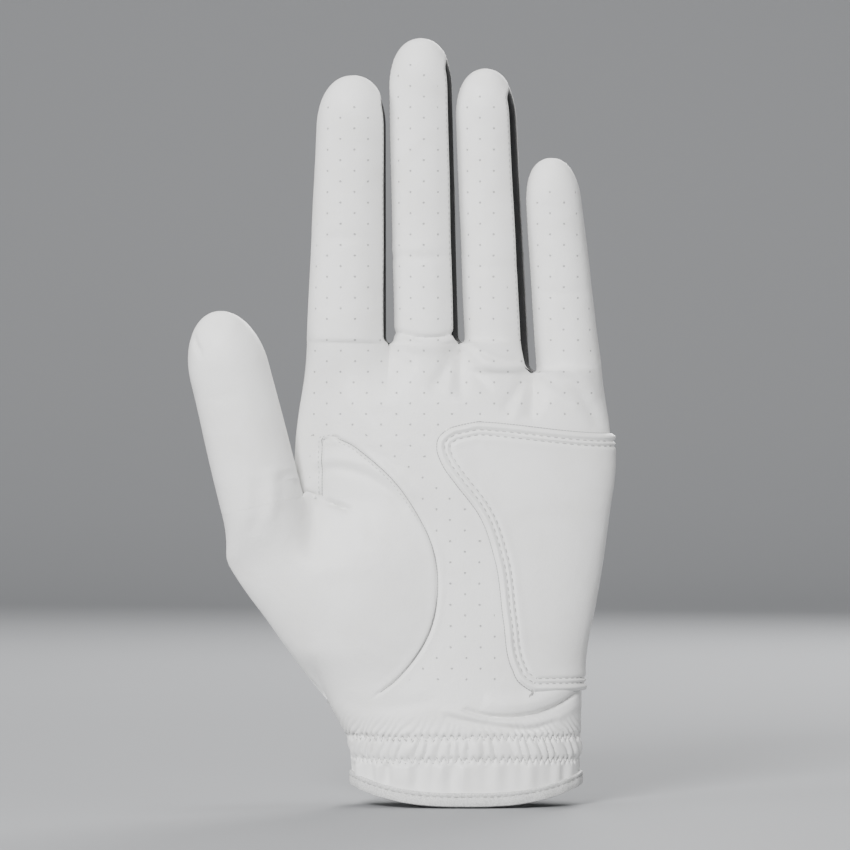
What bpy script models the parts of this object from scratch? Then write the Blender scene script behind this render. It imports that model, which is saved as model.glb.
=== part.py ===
"""Golf glove for the left hand: fingers up (+Z), palm towards -Y, thumb towards -X.

The leather and stretch panels are grids laid on one hand form and given their thickness.
The form has a palm, whose level sections are rounded ovals, and five digits, which are
rounded tubes with closed tips. The origin is under the middle of the wrist opening.
"""

import math
from collections import namedtuple

import bmesh
import bpy
import numpy as np

MM = 0.001

# Driving dimensions
LEATHER = 0.8 * MM
STRETCH = 0.7 * MM
SEAM = 0.3 * MM  # how far each half of the glove stands back from the seam plane
CLEAR = 0.4 * MM  # between neighbouring pieces
FULLNESS = 2.3  # exponent of the rounded sections, 2 being an ellipse
CUFF_TOP = 28.0 * MM
BINDING_HEIGHT = 4.1 * MM
BINDING = 1.5 * MM
WEB_RADIUS = 2.0 * MM
WEB_HALF_DEPTH = 1.0 * MM
WEB_LIFT = 1.8 * MM
BLEND = 20.0 * MM  # height over which the palm turns into fingers
TWIST = -20.0  # degrees that the fingers turn about their length
SEAM_ANGLE = 65.0  # degrees from the middle of a finger's front to its seam
FORK_ANGLE = 50.0  # degrees of a finger's side that its fourchette covers
TIP_CAP = 13.0 * MM
TIP_FULLNESS = 2.5

# Level sections of the palm: height, then the place or size there
LEFT_EDGE = [(0, -33.0), (8, -33.4), (20, -35.2), (30, -40.5), (45, -45.0),
             (65, -48.5), (91, -50.6), (107, -50.2), (122, -48.3), (140, -47.0)]
RIGHT_EDGE = [(0, 33.0), (8, 33.4), (30, 34.0), (42, 34.3), (60, 37.5),
              (84, 41.2), (100, 43.0), (112, 42.2), (128, 39.8), (140, 39.0)]
PALM_DEPTH = [(0, 19.0), (20, 18.5), (45, 16.0), (75, 14.0), (100, 13.0), (137, 10.0)]
BACK_DEPTH = [(0, 19.0), (20, 18.5), (45, 17.0), (75, 16.0), (100, 14.5), (137, 10.0)]
THUMB_SIDE = [(28, -39.2), (42, -50.0), (54, -58.5), (66, -67.0), (75, -71.0), (90, -72.6)]
THUMB_SIDE_DEPTH = [(28, 0.0), (60, -5.0), (90, -9.0)]
HEEL_SEAM = [(28, -31.0), (38, -19.5), (48, -12.1), (60, -8.6), (76, -10.0),
             (93, -19.5), (104, -31.3), (108, -38.6)]
PATCH_EDGE = [(33, 22.0), (36, 17.0), (40, 14.5), (54, 11.5), (72, 9.1), (86, 4.1),
              (98, -3.2), (104, -6.4), (107, -5.6), (109, -1.0)]

WEBS = (-23.3 * MM, -2.1 * MM, 19.2 * MM)  # across, between neighbouring fingers
WEB_HEIGHTS = (135.8 * MM, 135.8 * MM, 127.4 * MM)

Digit = namedtuple(
    "Digit",
    "name base tip width depth forward seams hinges flex",
)
# base and tip: (x, y, z); width and depth: half sizes at base and tip; forward: the bow of
# the middle line towards the palm at the tip; seams: angles of the front panel's edges;
# hinges: distances from the base; flex: degrees
LEFT_SEAM = TWIST - SEAM_ANGLE
RIGHT_SEAM = TWIST + SEAM_ANGLE
FINGERS = (
    Digit("index", (-35.0, 0, 137.0), (-33.2, 0, 214.2), (11.9, 10.0), (9.3, 8.3), 5.0,
          (-90.0, RIGHT_SEAM), (8.0, 29.0), (60, 80)),
    Digit("middle", (-11.5, 0, 137.0), (-13.5, 0, 225.1), (9.6, 9.4), (9.3, 8.3), 5.0,
          (LEFT_SEAM, RIGHT_SEAM), (8.0, 30.0), (60, 80)),
    Digit("ring", (9.0, 0, 137.0), (5.3, 0, 216.2), (9.4, 8.9), (9.0, 8.0), 5.0,
          (LEFT_SEAM, RIGHT_SEAM), (8.0, 29.0), (60, 80)),
    Digit("little", (30.2, 0, 129.0), (24.6, 0, 189.9), (9.5, 7.7), (8.4, 7.0), 4.0,
          (LEFT_SEAM, 90.0), (7.0, 24.0), (60, 75)),
)
THUMB = Digit("thumb", (-60.6, -9.2, 91.5), (-73.6, -14.0, 144.6), (12.2, 11.4),
              (10.6, 9.6), 1.0, (-90.0, 90.0), (11.0,), (50,))

# Closure on the back
SLIT_X = 6.0 * MM
SLIT_HALF_WIDTH = 2.5 * MM
SLIT_TOP = 50.0 * MM
TAB_LOW = 14.0 * MM
TAB_HIGH = 40.0 * MM
TAB_HINGE_X = -24.0 * MM
TAB_FREE_END_X = 29.0 * MM
TAB_FLAT = (-10.0 * MM, 9.0 * MM)
TAB = 1.4 * MM
TAB_SWING_ROOM = 2.4 * MM  # between the tab and its sewn root
HOOK = 0.8 * MM

WHITE = (0.83, 0.83, 0.83, 1.0)
BLACK = (0.012, 0.012, 0.013, 1.0)
GREY = (0.55, 0.55, 0.55, 1.0)


# Curves and sections

def smooth(low, high, value):
    t = min(max((value - low) / (high - low), 0.0), 1.0)
    return t * t * (3.0 - 2.0 * t)


def curve(stations, height):
    """A smooth line through (height, value) stations in mm, level beyond its ends."""
    heights, values = np.array(stations, float).T * MM
    height = min(max(height, heights[0]), heights[-1])
    slopes = np.gradient(values, heights)
    i = min(int(np.searchsorted(heights, height, "right")) - 1, len(heights) - 2)
    step = heights[i + 1] - heights[i]
    t = (height - heights[i]) / step
    return (
        values[i] * (1 + 2 * t) * (1 - t) ** 2
        + values[i + 1] * t * t * (3 - 2 * t)
        + step * t * (1 - t) * (slopes[i] * (1 - t) - slopes[i + 1] * t)
    )


def rounded(value):
    """A sine or cosine made fuller, for a rounded section."""
    return math.copysign(abs(value) ** (2.0 / FULLNESS), value)


def lerp(a, b, t):
    return a + (b - a) * t


def hand_point(turn, height, side):
    """On the palm's section: turn runs -90 to 90 degrees, thumb side to little finger; side
    is -1 for the palm and 1 for the back."""
    left, right = curve(LEFT_EDGE, height), curve(RIGHT_EDGE, height)
    depth = curve(PALM_DEPTH if side < 0 else BACK_DEPTH, height)
    angle = math.radians(turn)
    return np.array((
        lerp(left, right, 0.5 + 0.5 * rounded(math.sin(angle))),
        side * depth * rounded(math.cos(angle)),
        height,
    ))


def turn_at(x, height):
    """The turn at which the palm's section is this far across."""
    left, right = curve(LEFT_EDGE, height), curve(RIGHT_EDGE, height)
    share = min(max((2 * x - left - right) / (right - left), -1.0), 1.0)
    return math.degrees(math.asin(math.copysign(abs(share) ** (FULLNESS / 2.0), share)))


def length_of(digit):
    return float(np.linalg.norm(np.subtract(digit.tip, digit.base)[[0, 2]])) * MM


def directions_of(digit):
    """The unit vectors across the digit, through its depth and along it."""
    along = np.subtract(digit.tip, digit.base) * (1, 0, 1)
    along = along / np.linalg.norm(along)
    return np.array((along[2], 0, -along[0])), np.array((0, 1, 0)), along


def centre_of(digit, distance):
    """The middle of the digit's section this far from its base."""
    share = distance / length_of(digit)
    bow = lerp(digit.base[1], digit.tip[1], share) - digit.forward * max(share, 0.0) ** 2
    centre = np.array(digit.base) * MM + directions_of(digit)[2] * distance
    centre[1] = bow * MM
    return centre


def digit_point(digit, angle, distance):
    """On the digit's skin: angle 0 faces the palm side, 90 the little finger's side."""
    length = length_of(digit)
    share = min(max(distance / length, 0.0), 1.0)
    into_cap = min(max((distance - length + TIP_CAP) / TIP_CAP, 0.0), 1.0)
    cap = max(1.0 - into_cap ** TIP_FULLNESS, 0.0) ** (1.0 / TIP_FULLNESS)
    across, _, _ = directions_of(digit)
    turn = math.radians(angle)
    point = centre_of(digit, distance)
    point = point + across * lerp(*digit.width, share) * MM * cap * rounded(math.sin(turn))
    point[1] -= lerp(*digit.depth, share) * MM * cap * rounded(math.cos(turn))
    return point


def seams_of(digit, side):
    """The angles of the panel's left and right edges on this side of the digit."""
    left, right = digit.seams
    if side < 0:
        return left, right
    back_left = 270.0 if left == -90.0 else 360.0 + left - FORK_ANGLE
    back_right = 90.0 if right == 90.0 else right + FORK_ANGLE
    return back_left, back_right


def seam_at(digit, side, edge, distance):
    """A panel's edge angle: near the tip, where the fourchettes end, front and back meet."""
    angle = seams_of(digit, side)[edge]
    meeting = (270.0 if side > 0 else -90.0) if edge == 0 else 90.0
    length = length_of(digit)
    return lerp(angle, meeting, smooth(length - 22 * MM, length - 7 * MM, distance))


# The sheet that runs from the palm into the fingers

def strip_point(k, across, height, side):
    """Finger k's strip of the hand, across from 0 at its left edge to 1 at its right."""
    digit = FINGERS[k]
    base = digit.base[2] * MM
    bounds = (-90.0, *(turn_at(x, height) for x in WEBS), 90.0)
    palm = hand_point(lerp(bounds[k], bounds[k + 1], across), height, side)
    angle = lerp(*seams_of(digit, side), across)
    finger = digit_point(digit, angle, height - base)
    return lerp(palm, finger, smooth(base - BLEND, base, height))


def shut(height, web):
    """How far the slot between two fingers is closed: 1 below its round end, 0 above it."""
    if height <= web:
        return 1.0
    into = min((height - web) / WEB_RADIUS, 1.0)
    return 1.0 - math.sqrt(1.0 - (1.0 - into) ** 2)


def sheet_point(k, across, height, side):
    """The strip's point, with its edges drawn to the neighbours' below each web."""
    point = strip_point(k, across, height, side)
    for edge, other in ((0, k - 1), (1, k + 1)):
        if not 0 <= other < len(FINGERS):
            continue
        closing = shut(height, WEB_HEIGHTS[min(k, other)])
        if closing == 0.0:
            continue
        own = strip_point(k, edge, height, side)
        beside = strip_point(other, 1 - edge, height, side)
        near = across if edge else 1.0 - across
        point = point + (beside - own) * (0.5 * closing * near)
    return point


# Making solids

def material(name, colour, roughness):
    made = bpy.data.materials.new(name)
    made.use_nodes = True
    shader = made.node_tree.nodes["Principled BSDF"]
    shader.inputs["Base Color"].default_value = colour
    shader.inputs["Roughness"].default_value = roughness
    shader.inputs["Metallic"].default_value = 0.0
    return made


FINISHES = {
    "leather": (WHITE, 0.55),
    "stretch": (BLACK, 0.7),
    "binding": (WHITE, 0.6),
    "elastic": (WHITE, 0.8),
    "hook": (GREY, 0.9),
    "loop": (WHITE, 0.95),
}


def lay(bm, columns, rows, place):
    """Adds a grid whose points go where place(u, v) says, with u and v from 0 to 1."""
    for vert in bmesh.ops.create_grid(bm, x_segments=columns, y_segments=rows, size=0.5)["verts"]:
        vert.co = place(vert.co.x + 0.5, vert.co.y + 0.5)


def finish(bm, name, finish_name, parent=None):
    """Makes the object, with its own material, under the empty on its joint's axis."""
    bmesh.ops.remove_doubles(bm, verts=bm.verts, dist=0.01 * MM)
    mesh = bpy.data.meshes.new(name)
    bm.to_mesh(mesh)
    bm.free()
    mesh.shade_smooth()
    obj = bpy.data.objects.new(name, mesh)
    bpy.context.scene.collection.objects.link(obj)
    mesh.materials.append(material(name, *FINISHES[finish_name]))
    if parent:
        obj.parent = parent
        obj.matrix_parent_inverse = parent.matrix_world.inverted()
    return obj


def thicken(obj, thickness):
    """Gives the sheet its thickness, inwards from the hand form."""
    solid = obj.modifiers.new("Thickness", "SOLIDIFY")
    solid.thickness = thickness
    solid.offset = -1.0
    return obj


def panel(name, finish_name, columns, rows, place, thickness=LEATHER, parent=None):
    bm = bmesh.new()
    lay(bm, columns, rows, place)
    return thicken(finish(bm, name, finish_name, parent), thickness)


def raised(place, offset):
    """The same place, this far off the surface."""
    def lifted(u, v):
        step = 0.002
        back_u, back_v = min(u, 1 - step), min(v, 1 - step)
        start = np.array(place(back_u, back_v))
        normal = np.cross(
            np.array(place(back_u + step, back_v)) - start,
            np.array(place(back_u, back_v + step)) - start,
        )
        return np.array(place(u, v)) + normal / np.linalg.norm(normal) * offset
    return lifted


def empty(name, position):
    made = bpy.data.objects.new(name, None)
    bpy.context.scene.collection.objects.link(made)
    made.location = position
    bpy.context.view_layer.update()
    return made


def cutter(name, outline, near, far):
    """A prism through the sheet along Y, from (x, z) points in mm."""
    bm = bmesh.new()
    verts = [bm.verts.new((x * MM, near, z * MM)) for x, z in outline]
    face = bm.faces.new(verts)
    grown = bmesh.ops.extrude_face_region(bm, geom=[face])["geom"]
    moved = [item for item in grown if isinstance(item, bmesh.types.BMVert)]
    bmesh.ops.translate(bm, verts=moved, vec=(0, far - near, 0))
    bmesh.ops.recalc_face_normals(bm, faces=bm.faces)
    mesh = bpy.data.meshes.new(name)
    bm.to_mesh(mesh)
    bm.free()
    obj = bpy.data.objects.new(name, mesh)
    bpy.context.scene.collection.objects.link(obj)
    obj.hide_render = True
    obj.display_type = "WIRE"
    return obj


def cut(obj, tool):
    trim = obj.modifiers.new("Cut to shape", "BOOLEAN")
    trim.operation = "DIFFERENCE"
    trim.solver = "EXACT"
    trim.object = tool


# Palm and back

def relief(digit, number):
    """How fast a joint's two sides fall away from its axis towards the palm."""
    return math.tan(math.radians(digit.flex[number] / 2.0))


def fold_room(digit, angle, number):
    """The room that a panel leaves on one side of a joint, so that it can bend."""
    axis = digit.hinges[number] * MM
    front = centre_of(digit, axis)[1] - digit_point(digit, angle, axis)[1]
    return SEAM + max(front, 0.0) * relief(digit, number)


def hem_height(turn):
    """The hem dips in the middle of the palm side and is nearly level at the back."""
    return 5.6 * MM * abs(math.sin(math.radians(turn))) ** 2.4


def back_hem_height(turn):
    return lerp(4.6 * MM, 5.6 * MM, abs(math.sin(math.radians(turn))))


def strip_rows(k, start, heights):
    """The heights of a strip's rows up to its finger's base, dense at the webs."""
    base = FINGERS[k].base[2] * MM
    return [start] + [h * MM for h in heights if start < h * MM < base] + [base]


def glove_half(name, side, start_of, heights):
    """The whole palm or back sheet, up to the first joint of each finger."""
    bm = bmesh.new()
    for k, digit in enumerate(FINGERS):
        rows = strip_rows(k, CUFF_TOP, heights)
        count = len(rows)

        def place(u, v, k=k, digit=digit, rows=rows, count=count):
            across = u if side < 0 else 1.0 - u
            row = round(v * count)
            if row == 0:
                height = start_of(k, across)
            elif row < count:
                height = rows[row]
            else:
                angle = lerp(*seams_of(digit, side), across)
                height = rows[-1] + digit.hinges[0] * MM - fold_room(digit, angle, 0)
            point = sheet_point(k, across, height, side)
            point[1] += side * SEAM
            return point

        lay(bm, 6, count, place)
    return thicken(finish(bm, name, "leather"), LEATHER)


PALM_ROWS = (36, 44, 53, 62, 71, 80, 89, 98, 106, 114, 121, 127.4, 129.4, 132.6, 135.8)


def palm_leather():
    palm = glove_half("palm_leather", -1, lambda k, across: CUFF_TOP, PALM_ROWS)
    seam = [(curve(HEEL_SEAM, z * MM) / MM, z) for z in range(28, 109, 4)]
    outline = [(-90, 20), (-34, 20)] + seam + [(-42.5, 108), (-42.5, 94), (-90, 94)]
    cut(palm, cutter("heel_pattern", outline, -40 * MM, 10 * MM))


def back_start(k, across):
    """The back sheet's lower edge, over the hem binding."""
    bounds = (-90.0, *(turn_at(x, 5 * MM) for x in WEBS), 90.0)
    return back_hem_height(lerp(bounds[k], bounds[k + 1], across)) + BINDING_HEIGHT + CLEAR


def slit_outline(room):
    """The opening slit's (x, z) outline in mm: open at the hem, round at its top."""
    middle, half, top = SLIT_X / MM, SLIT_HALF_WIDTH / MM + room, SLIT_TOP / MM
    arc = [math.radians(a) for a in range(0, 181, 30)]
    return [(middle - half, -5), (middle + half, -5)] + [
        (middle + half * math.cos(a), top + half * math.sin(a)) for a in arc
    ]


def back_leather():
    back = glove_half("back_leather", 1, back_start, (14, 20, *PALM_ROWS))
    cut(back, cutter("slit_pattern", slit_outline(0.0), 0, 40 * MM))
    outline = [(-90, 27.8), (-35.2, 27.8), (-41, 44), (-44, 64), (-46, 93.5), (-90, 93.5)]
    cut(back, cutter("thumb_back_pattern", outline, -20 * MM, 40 * MM))


def heel_point(u, v, side, seam_of, top_of):
    """The thumb's base: a quarter of a rounded section, from the hand's outer edge to a seam."""
    outer_x = curve(THUMB_SIDE, CUFF_TOP + v * 62 * MM)
    seam = seam_of(CUFF_TOP + v * 62 * MM)
    height = lerp(CUFF_TOP + CLEAR, top_of(lerp(outer_x, seam, u)), v)
    outer_x, seam = curve(THUMB_SIDE, height), seam_of(height)
    outer_y = curve(THUMB_SIDE_DEPTH, height)
    meeting = hand_point(turn_at(seam, height), height, side)
    angle = math.radians(90.0 * (1.0 - u))
    x = seam + (outer_x - seam) * rounded(math.sin(angle))
    y = outer_y + (meeting[1] - outer_y) * rounded(math.cos(angle))
    mound = math.sin(math.pi * u) * smooth(CUFF_TOP, 62 * MM, height) * 4.0 * MM
    return np.array((x, y + side * (mound * (side < 0) + SEAM), height))


def crotch_height(x):
    """The thumb tube's sloping lower edge."""
    return 88.3 * MM + 0.257 * (min(max(x, -72 * MM), -48 * MM) + 72 * MM)


def thumb_base():
    panel("thumb_heel_leather", "leather", 9, 12, lambda u, v: heel_point(
        u, v, -1, lambda z: curve(HEEL_SEAM, z) - 2 * CLEAR, lambda x: crotch_height(x) - 1.2 * MM))
    panel("thumb_back_heel_leather", "leather", 6, 8, lambda u, v: heel_point(
        1.0 - u, v, 1,
        lambda z: curve([(28, -36.2), (44, -41.6), (64, -44.6), (93, -46.6)], z),
        lambda x: crotch_height(x) - 1.2 * MM))


def thumb_gore():
    """The pointed top of the thumb's leather, between the thumb and the index finger."""
    def place(u, v):
        height = lerp(94.6 * MM, 107.0 * MM, v)
        x = lerp(-42.0 * MM, curve(HEEL_SEAM, height) - 2 * CLEAR, u)
        point = hand_point(turn_at(x, height), height, -1)
        point[1] -= SEAM
        return point
    panel("thumb_gore", "leather", 4, 4, place)


def palm_patch():
    def flat(u, v):
        height = lerp(34.0 * MM, 108.6 * MM, v)
        start = turn_at(curve(PATCH_EDGE, height), height)
        return hand_point(lerp(start, 86.0, u), height, -1)
    panel("palm_heel_patch", "leather", 8, 14, raised(flat, 0.6 * MM + 2.0 * SEAM + LEATHER))


def knuckle_strip():
    def flat(u, v):
        turn = lerp(52.0, -52.0, u)
        height = 108.0 * MM + (v - 0.5) * 11.0 * MM * math.cos(math.radians(turn * 1.2))
        return hand_point(turn, height, 1)
    panel("knuckle_stretch_strip", "stretch", 10, 2, raised(flat, 0.8 * MM + STRETCH),
          STRETCH)


# Wrist

def wrist_point(turn, height, side, offset=0.0):
    point = hand_point(turn, height, side)
    point[0] += offset * math.sin(math.radians(turn))
    point[1] += side * (SEAM + offset * math.cos(math.radians(turn)))
    return point


def cuff():
    def place(u, v):
        turn = lerp(-90.0, 90.0, u)
        low = hem_height(turn) + BINDING_HEIGHT + CLEAR
        return wrist_point(turn, lerp(low, CUFF_TOP - CLEAR, v), -1)
    panel("cuff_leather", "leather", 18, 4, place)


def elastic(name, middle):
    def place(u, v):
        turn = lerp(-72.0, 72.0, u)
        return wrist_point(turn, middle + (v - 0.5) * 4.0 * MM, -1, -(LEATHER + CLEAR))
    panel(name, "elastic", 14, 1, place, 0.6 * MM)


def hem_binding():
    """A band round the wrist, open at the slit."""
    gap = SLIT_HALF_WIDTH + CLEAR
    first = turn_at(SLIT_X + gap, 2 * MM)
    last = turn_at(SLIT_X - gap, 2 * MM)

    def place(u, v):
        angle = lerp(180.0 - first, -180.0 - last, 1.0 - u)
        front = abs(angle) <= 90.0
        turn = angle if front else math.copysign(180.0, angle) - angle
        low = hem_height(turn) if front else back_hem_height(turn)
        outer = wrist_point(turn, low + v * BINDING_HEIGHT, -1 if front else 1, 0.5 * MM)
        outer[1] -= SEAM * (-1 if front else 1)
        return outer
    panel("hem_binding", "binding", 44, 2, place, BINDING)


def slit_binding():
    """A folded edge round the slit, on the outside of the back leather."""
    half = SLIT_HALF_WIDTH
    side_length = SLIT_TOP - 10.5 * MM
    arc_length = math.pi * half
    total = 2 * side_length + arc_length

    def centre(distance):
        """A point of the slit's edge and the way off it, in the XZ plane."""
        if distance < side_length:
            return (half, 10.5 * MM + distance), (1.0, 0.0)
        if distance > side_length + arc_length:
            return (-half, 10.5 * MM + total - distance), (-1.0, 0.0)
        angle = (distance - side_length) / half
        out = (math.cos(angle), math.sin(angle))
        return (half * out[0], SLIT_TOP + half * out[1]), out

    def flat(u, v):
        (x, z), (out_x, out_z) = centre(u * total)
        reach = lerp(0.2 * MM, 2.8 * MM, v)
        x, z = SLIT_X + x + out_x * reach, z + out_z * reach
        return hand_point(turn_at(x, z), z, 1)
    panel("slit_binding", "binding", 24, 1, raised(flat, SEAM + CLEAR + STRETCH), STRETCH)


# Closure tab

def tab_path(offset):
    """The tab's course round the back, as (x, y) points: flat in its middle."""
    across = (TAB_HINGE_X, -18 * MM, *TAB_FLAT, 15 * MM, 22 * MM, TAB_FREE_END_X)
    course = [[x, hand_point(turn_at(x, TAB_LOW), TAB_LOW, 1)[1] + offset] for x in across]
    course[2][1] = course[3][1] = max(course[2][1], course[3][1])
    return course


def tab_layer(name, finish_name, first, last, low, high, offset, thickness, parent):
    """One layer of the closure, between two points of the tab's course."""
    path = tab_path(offset)[first:last + 1]

    def place(u, v):
        x, y = path[round((1.0 - u) * (len(path) - 1))]
        return np.array((x, y, lerp(low, high, v)))
    return panel(name, finish_name, len(path) - 1, 1, place, thickness, parent)


def closure():
    low, high = TAB_LOW, TAB_HIGH
    lifted = SEAM + 2 * CLEAR + 2 * HOOK + 0.6 * MM
    pivot = empty("closure_tab_axis", (TAB_HINGE_X, tab_path(lifted)[0][1], 0.5 * (low + high)))
    loop_patch()
    tab_layer("hook_patch", "hook", 4, 6, low + 3 * MM, high - 3 * MM, lifted, HOOK, pivot)
    lifted += CLEAR + TAB
    tab_layer("closure_tab", "leather", 0, 6, low, high, lifted, TAB, pivot)
    anchor()


def loop_patch():
    """On the back leather, where the tab's free end lands."""
    def flat(u, v):
        x = lerp(TAB_FREE_END_X - 1 * MM, TAB_FLAT[1] + 4 * MM, u)
        z = lerp(TAB_LOW + 2 * MM, TAB_HIGH - 2 * MM, v)
        return hand_point(turn_at(x, z), z, 1)
    panel("loop_patch", "loop", 6, 4, raised(flat, SEAM + CLEAR + HOOK), HOOK)


def anchor():
    """The tab's sewn root, on the thumb side of its hinge."""
    def flat(u, v):
        x = lerp(TAB_HINGE_X - TAB_SWING_ROOM, TAB_HINGE_X - 8.4 * MM, u)
        z = lerp(TAB_LOW, TAB_HIGH, v)
        return hand_point(turn_at(x, z), z, 1)
    panel("closure_tab_root", "leather", 3, 3, raised(flat, SEAM + 0.9 * MM + TAB), TAB)


# Digits

def span(digit, side, u, distance, inset):
    """The angle at u across a front or back panel; u runs the way the angle grows."""
    left = seam_at(digit, side, 0, distance)
    right = seam_at(digit, side, 1, distance)
    first, last = (left, right) if side < 0 else (right, left)
    return lerp(first + inset, last - inset, u)


def segment_place(digit, side, start_of, end_of, inset=0.0):
    """A stretch of a digit's front or back panel between two edges."""
    def place(u, v):
        middle = 0.5 * (start_of(0.0) + end_of(0.0))
        angle = span(digit, side, u, middle, inset)
        distance = lerp(start_of(angle), end_of(angle), v)
        point = digit_point(digit, span(digit, side, u, distance, inset), distance)
        point[1] += side * SEAM
        return point
    return place


def tip_place(digit, side, start_of):
    """The last stretch: rows up the tube, then closer rows over the round cap."""
    length = length_of(digit)

    def place(u, v):
        angle = span(digit, side, u, 0.0, 0.0)
        start = start_of(angle)
        if v <= 0.5:
            distance = lerp(start, length - TIP_CAP, v * 2.0)
        else:
            lift = math.sin(math.radians(90.0 * (v - 0.5) * 2.0))
            distance = length - TIP_CAP + TIP_CAP * lift ** (2.0 / TIP_FULLNESS)
        point = digit_point(digit, span(digit, side, u, distance, 0.0), distance)
        point[1] += side * SEAM
        return point
    return place


def below(digit, number):
    return lambda angle: digit.hinges[number] * MM - fold_room(digit, angle, number)


def above(digit, number):
    return lambda angle: digit.hinges[number] * MM + fold_room(digit, angle, number)


def fold(digit, number, name, parent):
    """The part of the front leather that creases as the joint bends."""
    def place(u, v):
        axis = digit.hinges[number] * MM
        angle = lerp(max(digit.seams[0], -70.0), min(digit.seams[1], 70.0), u)
        room = fold_room(digit, angle, number) - CLEAR
        point = digit_point(digit, angle, axis + lerp(-room, room, v))
        point[1] -= SEAM
        return point
    panel(name, "leather", 6, 1, place, LEATHER, parent)


def wall(name, digit, right_side, start_of, end_of, rows, parent):
    """One side strip of a fourchette, between the front and back panels."""
    digit_end = length_of(digit)

    def place(u, v):
        side_of = 1 if right_side else 0
        middle = 0.5 * (start_of(0.0) + end_of(0.0))
        for distance in (middle, None):
            if distance is None:
                distance = lerp(start_of(angle), end_of(angle), v)
            inset = 3.0 + 5.0 * smooth(digit_end - 22 * MM, digit_end - 12 * MM, distance)
            front = seam_at(digit, -1, side_of, distance) + (0 if right_side else 360.0)
            back = seam_at(digit, 1, side_of, distance)
            first, last = (front, back) if right_side else (back, front)
            angle = lerp(first + inset, last - inset, u)
        return digit_point(digit, angle, distance)
    panel(name, "stretch", 3, rows, place, STRETCH, parent)


def finger(k):
    digit = FINGERS[k]
    name = digit.name
    lower = empty(f"{name}_knuckle_axis", centre_of(digit, digit.hinges[0] * MM))
    upper = empty(f"{name}_middle_axis", centre_of(digit, digit.hinges[1] * MM))
    upper.parent = lower
    upper.matrix_parent_inverse = lower.matrix_world.inverted()
    bpy.context.view_layer.update()
    for side, word in ((-1, "front"), (1, "back")):
        panel(f"{name}_{word}_lower", "leather", 8, 1,
              segment_place(digit, side, above(digit, 0), below(digit, 1)), LEATHER, lower)
        panel(f"{name}_{word}_upper", "leather", 8, 8,
              tip_place(digit, side, above(digit, 1)), LEATHER, upper)
    fold(digit, 0, f"{name}_base_fold", None)
    fold(digit, 1, f"{name}_middle_fold", lower)
    end = length_of(digit) - 15 * MM
    for right_side in (False, True):
        if (k == 0 and not right_side) or (k == len(FINGERS) - 1 and right_side):
            continue
        word = "right" if right_side else "left"
        wall(f"{name}_{word}_fourchette_lower", digit, right_side,
             above(digit, 0), below(digit, 1), 1, lower)
        wall(f"{name}_{word}_fourchette_upper", digit, right_side,
             above(digit, 1), lambda angle: end, 5, upper)


def web(k):
    """The bottom of a fork: both side strips, joined round the end of the slot."""
    bm = bmesh.new()
    level = WEB_HEIGHTS[k]
    for finger_k, right_side in ((k, True), (k + 1, False)):
        digit = FINGERS[finger_k]
        edge = 1 if right_side else 0

        def place(u, v, finger_k=finger_k, digit=digit, edge=edge):
            base = digit.base[2] * MM
            front = seams_of(digit, -1)[edge] + (0 if edge else 360.0)
            back = seams_of(digit, 1)[edge]
            angle = lerp(front, back, 0.16 + 0.68 * (u if edge else 1.0 - u))
            top = base + digit.hinges[0] * MM - fold_room(digit, angle, 0)
            height = lerp(level + WEB_LIFT, top, v ** 1.5)
            point = digit_point(digit, angle, height - base)
            closing = shut(height, level + WEB_LIFT)
            bottom = (WEBS[k], WEB_HALF_DEPTH * (2.0 * u - 1.0) * (1 if edge else -1), height)
            return lerp(point, np.array(bottom), closing)

        lay(bm, 3, 5, place)
    names = f"{FINGERS[k].name}_{FINGERS[k + 1].name}"
    thicken(finish(bm, f"{names}_web", "stretch"), STRETCH)


def thumb():
    pivot = empty("thumb_axis", centre_of(THUMB, THUMB.hinges[0] * MM))
    for side, word in ((-1, "front"), (1, "back")):
        panel(f"thumb_{word}_lower", "leather", 8, 1,
              segment_place(THUMB, side, lambda angle: 0.2 * MM, below(THUMB, 0)))
        panel(f"thumb_{word}_upper", "leather", 10, 8,
              tip_place(THUMB, side, above(THUMB, 0)), LEATHER, pivot)
    fold(THUMB, 0, "thumb_fold", None)


def main():
    for obj in list(bpy.data.objects):
        bpy.data.objects.remove(obj)
    palm_leather()
    back_leather()
    thumb_base()
    thumb_gore()
    palm_patch()
    knuckle_strip()
    cuff()
    elastic("upper_elastic", 20.0 * MM)
    elastic("lower_elastic", 13.6 * MM)
    hem_binding()
    slit_binding()
    closure()
    for k in range(len(FINGERS)):
        finger(k)
    for k in range(len(WEBS)):
        web(k)
    thumb()


main()
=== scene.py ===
"""Golf glove for the left hand, built round its jointed frame.

Fingers point up (+Z), the palm faces -Y and the thumb -X. Every leather and stretch panel is a
fine grid laid on one hand form, lifted into its creases, seams and puffs, and given its
thickness. Panels are split beside each joint.
"""

import math
from collections import namedtuple

import bmesh
import bpy
import numpy as np
from bpy.props import FloatProperty, FloatVectorProperty, PointerProperty
from mathutils import Matrix, Vector
from mathutils.geometry import intersect_point_line


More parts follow.
